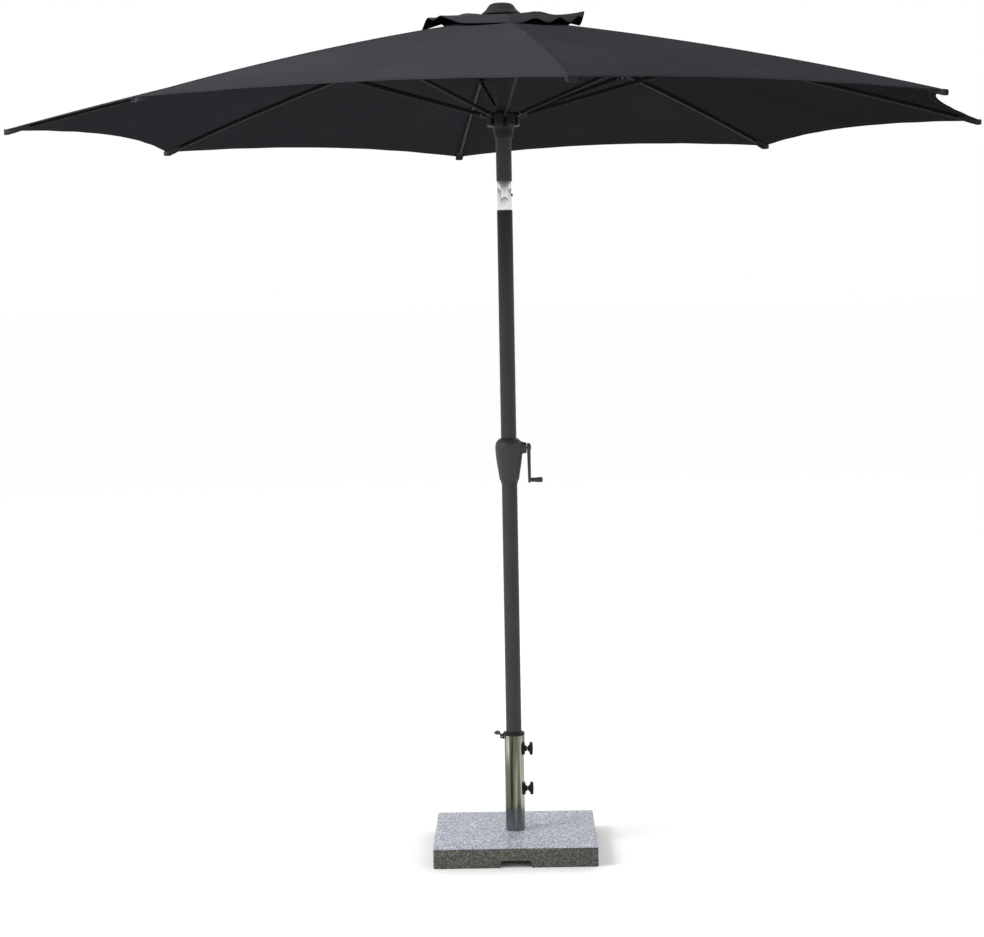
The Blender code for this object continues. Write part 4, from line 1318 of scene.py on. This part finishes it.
def addStitch(built, start, end, up, width=0.0007, tall=0.0006):
    along = (end - start).normalized()
    side = along.cross(up).normalized() * width / 2
    corners = []
    for point, lift in ((start, 0.0), (start.lerp(end, 0.5), tall), (end, 0.0)):
        corners.append([built.verts.new(point + side + up * (lift - 0.0002)),
                        built.verts.new(point - side + up * (lift - 0.0002)),
                        built.verts.new(point + up * (lift + 0.0002))])
    for first, second in zip(corners, corners[1:]):
        for k in range(3):
            built.faces.new((first[k], first[(k + 1) % 3], second[(k + 1) % 3], second[k]))
    built.faces.new(corners[0][::-1])
    built.faces.new(corners[-1])


def makeStitches(number):
    built = bmesh.new()
    step = hemLook["stitch"] + hemLook["gap"] * 0.4
    length = canopyLook["radius"] - canopyLook["start"]
    for side in (-1, 1):
        along = 0.02
        while along < length - 0.03:
            reach = canopyLook["start"] + along
            share = side * min(0.95, 0.0046 / (reach * math.sin(halfGore)))
            start = clothPoint(share, along / length, number)
            end = clothPoint(share, (along + hemLook["stitch"]) / length, number)
            up = clothNormal(share, along / length, number)
            addStitch(built, start + up * 0.0007, end + up * 0.0007, up)
            along += step
    across = -0.97
    while across < 0.97:
        reach = hemReach(abs(across)) - canopyLook["start"]
        out = 1 - 0.020 / reach
        nextAcross = across + hemLook["stitch"] / 0.56
        start, end = clothPoint(across, out, number), clothPoint(
            nextAcross, 1 - 0.020 / (hemReach(min(1, abs(nextAcross))) - canopyLook["start"]), number
        )
        up = clothNormal(across, out, number)
        addStitch(built, start + up * 0.0006, end + up * 0.0006, up)
        addStitch(
            built, start - up * (canopyLook["thick"] + 0.0012), end - up * (canopyLook["thick"] + 0.0012),
            -up
        )
        across += step / 0.56
    return hangCloth(built, "canopyStitches", number, finish="thread")


pocketLook = {"from": 1.428, "to": 1.5035, "wide": 0.0265, "tall": 0.0162}


def makePocket(number):
    # the cloth pocket that holds the rib's tip, cut square at its end
    look = pocketLook
    rings = []
    stations = (
        (0.0, 0.45, 0.62), (0.12, 0.66, 0.80), (0.35, 0.88, 0.94), (0.62, 0.98, 1.0), (0.88, 1.0, 0.98),
        (0.97, 1.0, 0.95), (1.0, 0.96, 0.90)
    )
    for share, tall, wide in stations:
        radius = look["from"] + (look["to"] - look["from"]) * share
        middle = ribHeight(min(radius, 1.495)) + 0.0003
        section = roundedBox(
            look["wide"] * wide, look["tall"] * tall, min(0.0042, look["tall"] * tall * 0.4), 4
        )
        rings.append([(radius, a, middle + b) for a, b in section])
    depth = 0.004
    last = rings[-1]
    middle = Vector((look["to"], 0, ribHeight(1.495) + 0.0003))
    for inward, shrink in ((0.0, 0.80), (depth, 0.78)):
        rings.append([tuple(middle + (Vector(p) - middle) * shrink - Vector((inward, 0, 0))) for p in last])
    built = loft(rings)
    return hangCloth(built, "canopyPocket", number, finish="lining")


def makeCanopy():
    for number in range(ribCount):
        panel = makePanel(number)
        extras = [makeHem(number), makeSeam(number), makeStitches(number), makePocket(number)]


makeCanopy()
print("canopy made")


ventLook = {
    "radius": 0.252,
    "start": 0.042,
    "keep": (0.25, 0.35, 0.35, 0.35, 0.35, 0.35, 0.35, 0.25),
    "thick": 0.0012,
    "rows": 30,
    "columns": 26,
    # rim height in metres by compass angle in degrees, as a wavy line round the cap
    "wave": (
        (-180, -0.017), (-167, -0.010), (-156, 0.012), (-147, 0.001), (-138, 0.010), (-129, -0.004), (
            -119, -0.019
        ),
        (-106, -0.0235), (-90, -0.0240), (-76, -0.0235), (-66, -0.010), (-56, -0.020), (-46, -0.003), (
            -36, -0.013
        ),
        (-25, 0.008), (-16, 0.012), (-6, 0.032), (6, 0.026), (17, 0.004), (28, 0.020), (40, 0.006), (
            52, 0.026
        ),
        (66, 0.010), (80, 0.018), (98, 0.002), (114, 0.026), (130, 0.008), (146, 0.032), (160, 0.010), (
            170, 0.000
        ),
    ),
    "hump": (
        (-180, 0.014), (-155, 0.010), (-125, 0.002), (-90, 0.000), (-55, 0.004), (-25, 0.012), (0, 0.015),
        (30, 0.019), (60, 0.022), (90, 0.012), (120, 0.020), (150, 0.018)
    ),
}


def aroundValue(points, degrees):
    # a smooth closed curve through values given by angle
    degrees = (degrees + 180) % 360 - 180
    count = len(points)
    for i in range(count):
        here, after = points[i], points[(i + 1) % count]
        width = (after[0] - here[0]) % 360
        gone = (degrees - here[0]) % 360
        if gone < width:
            t = gone / width
            before, beyond = points[i - 1][1], points[(i + 2) % count][1]
            a, b = here[1], after[1]
            return 0.5 * (2 * a + (b - before) * t + (2 * before - 5 * a + 4 * b - beyond) * t**2
                          + (3 * a - before - 3 * b + beyond) * t**3)
    return points[-1][1]


def ventPoint(degrees, out):
    look = ventLook
    rim = look["radius"] * (1 + 0.020 * math.cos(math.radians(degrees)) - 0.020)
    radius = look["start"] + (rim - look["start"]) * out
    share = radius / look["radius"]
    height = 2.5800 - 0.0270 * (0.35 * share + 0.65 * share**2.4)
    height += aroundValue(look["hump"], degrees) * math.exp(-(((radius - 0.112) / 0.036) ** 2))
    height += aroundValue(look["wave"], degrees) * max(0.0, (share - 0.22) / 0.78) ** 2.1
    angle = math.radians(degrees)
    return Vector((radius * math.cos(angle), radius * math.sin(angle), height))


def makeVentGore(number):
    look = ventLook
    middle = math.degrees(ribAngles[number])
    angle = ribAngles[number]
    built = bmesh.new()
    bmesh.ops.create_grid(built, x_segments=look["rows"], y_segments=look["columns"], size=1.0)
    for vertex in built.verts:
        vertex.co = ventPoint(middle + vertex.co.y * 22.5, (vertex.co.x + 1) / 2)
    thicken(built, look["thick"])
    rings = []
    for i in range(look["columns"] + 1):
        degrees = middle - 22.5 + 45 * i / look["columns"]
        edge, inner = ventPoint(degrees, 1.0), ventPoint(degrees, 0.93)
        outward = (edge - inner).normalized()
        up = Vector((0, 0, 1))
        lap = look["thick"] / 2
        rings.append([inner + up * 0.0004, edge + up * 0.0009, edge + outward * 0.0014 - up * lap,
                      edge - up * (2 * lap + 0.0010),
                      inner - up * (2 * lap + 0.0006), inner - up * lap])
    binding = loft(rings)
    back = Matrix.Rotation(-angle, 3, "Z")
    pieces = []
    for part, name, finish in ((built, "ventGore", None), (binding, "ventBinding", "lining")):
        bmesh.ops.rotate(part, verts=part.verts, cent=(0, 0, 0), matrix=back)
        stands = ("vent_cap",) if name == "ventGore" else ()
        pieces.append(
            hangCloth(part, name, number, finish=finish, stands=stands)
        )
    gore, edge = pieces


def makeVentPatch():
    # the reinforcing patch under the finial, which stays on the crown
    built = spun(
        [(0.0065, 2.5808), (0.0520, 2.5806), (0.0526, 2.5800), (0.0520, 2.5794), (0.0065, 2.5794)], 96,
        closed=True
    )
    layer = built.loops.layers.uv.new("cloth")
    for face in built.faces:
        for loop in face.loops:
            loop[layer].uv = loop.vert.co.xy
    # the patch takes the darker copy of the cloth: painted shade
    patch = addPiece(built, "ventPatch", "upper_post", "canopy_cloth", "shadedCloth")
    # the patch gets no painted gore shade (a factor of 1)
    fade = patch.data.color_attributes.new("fade", "FLOAT_COLOR", "CORNER")
    fade.data.foreach_set("color", [1.0] * (4 * len(patch.data.loops)))


for number in range(ribCount):
    makeVentGore(number)
makeVentPatch()
print("vent cap made")


hiddenParts = {"base_bolt": "steel", "tube_plug": "steel", "winding_spool": "steel"}


def finishHidden():
    for name, finish in hiddenParts.items():
        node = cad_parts[name]
        node.data.materials.clear()
        node.data.materials.append(finishes[finish])


finishHidden()
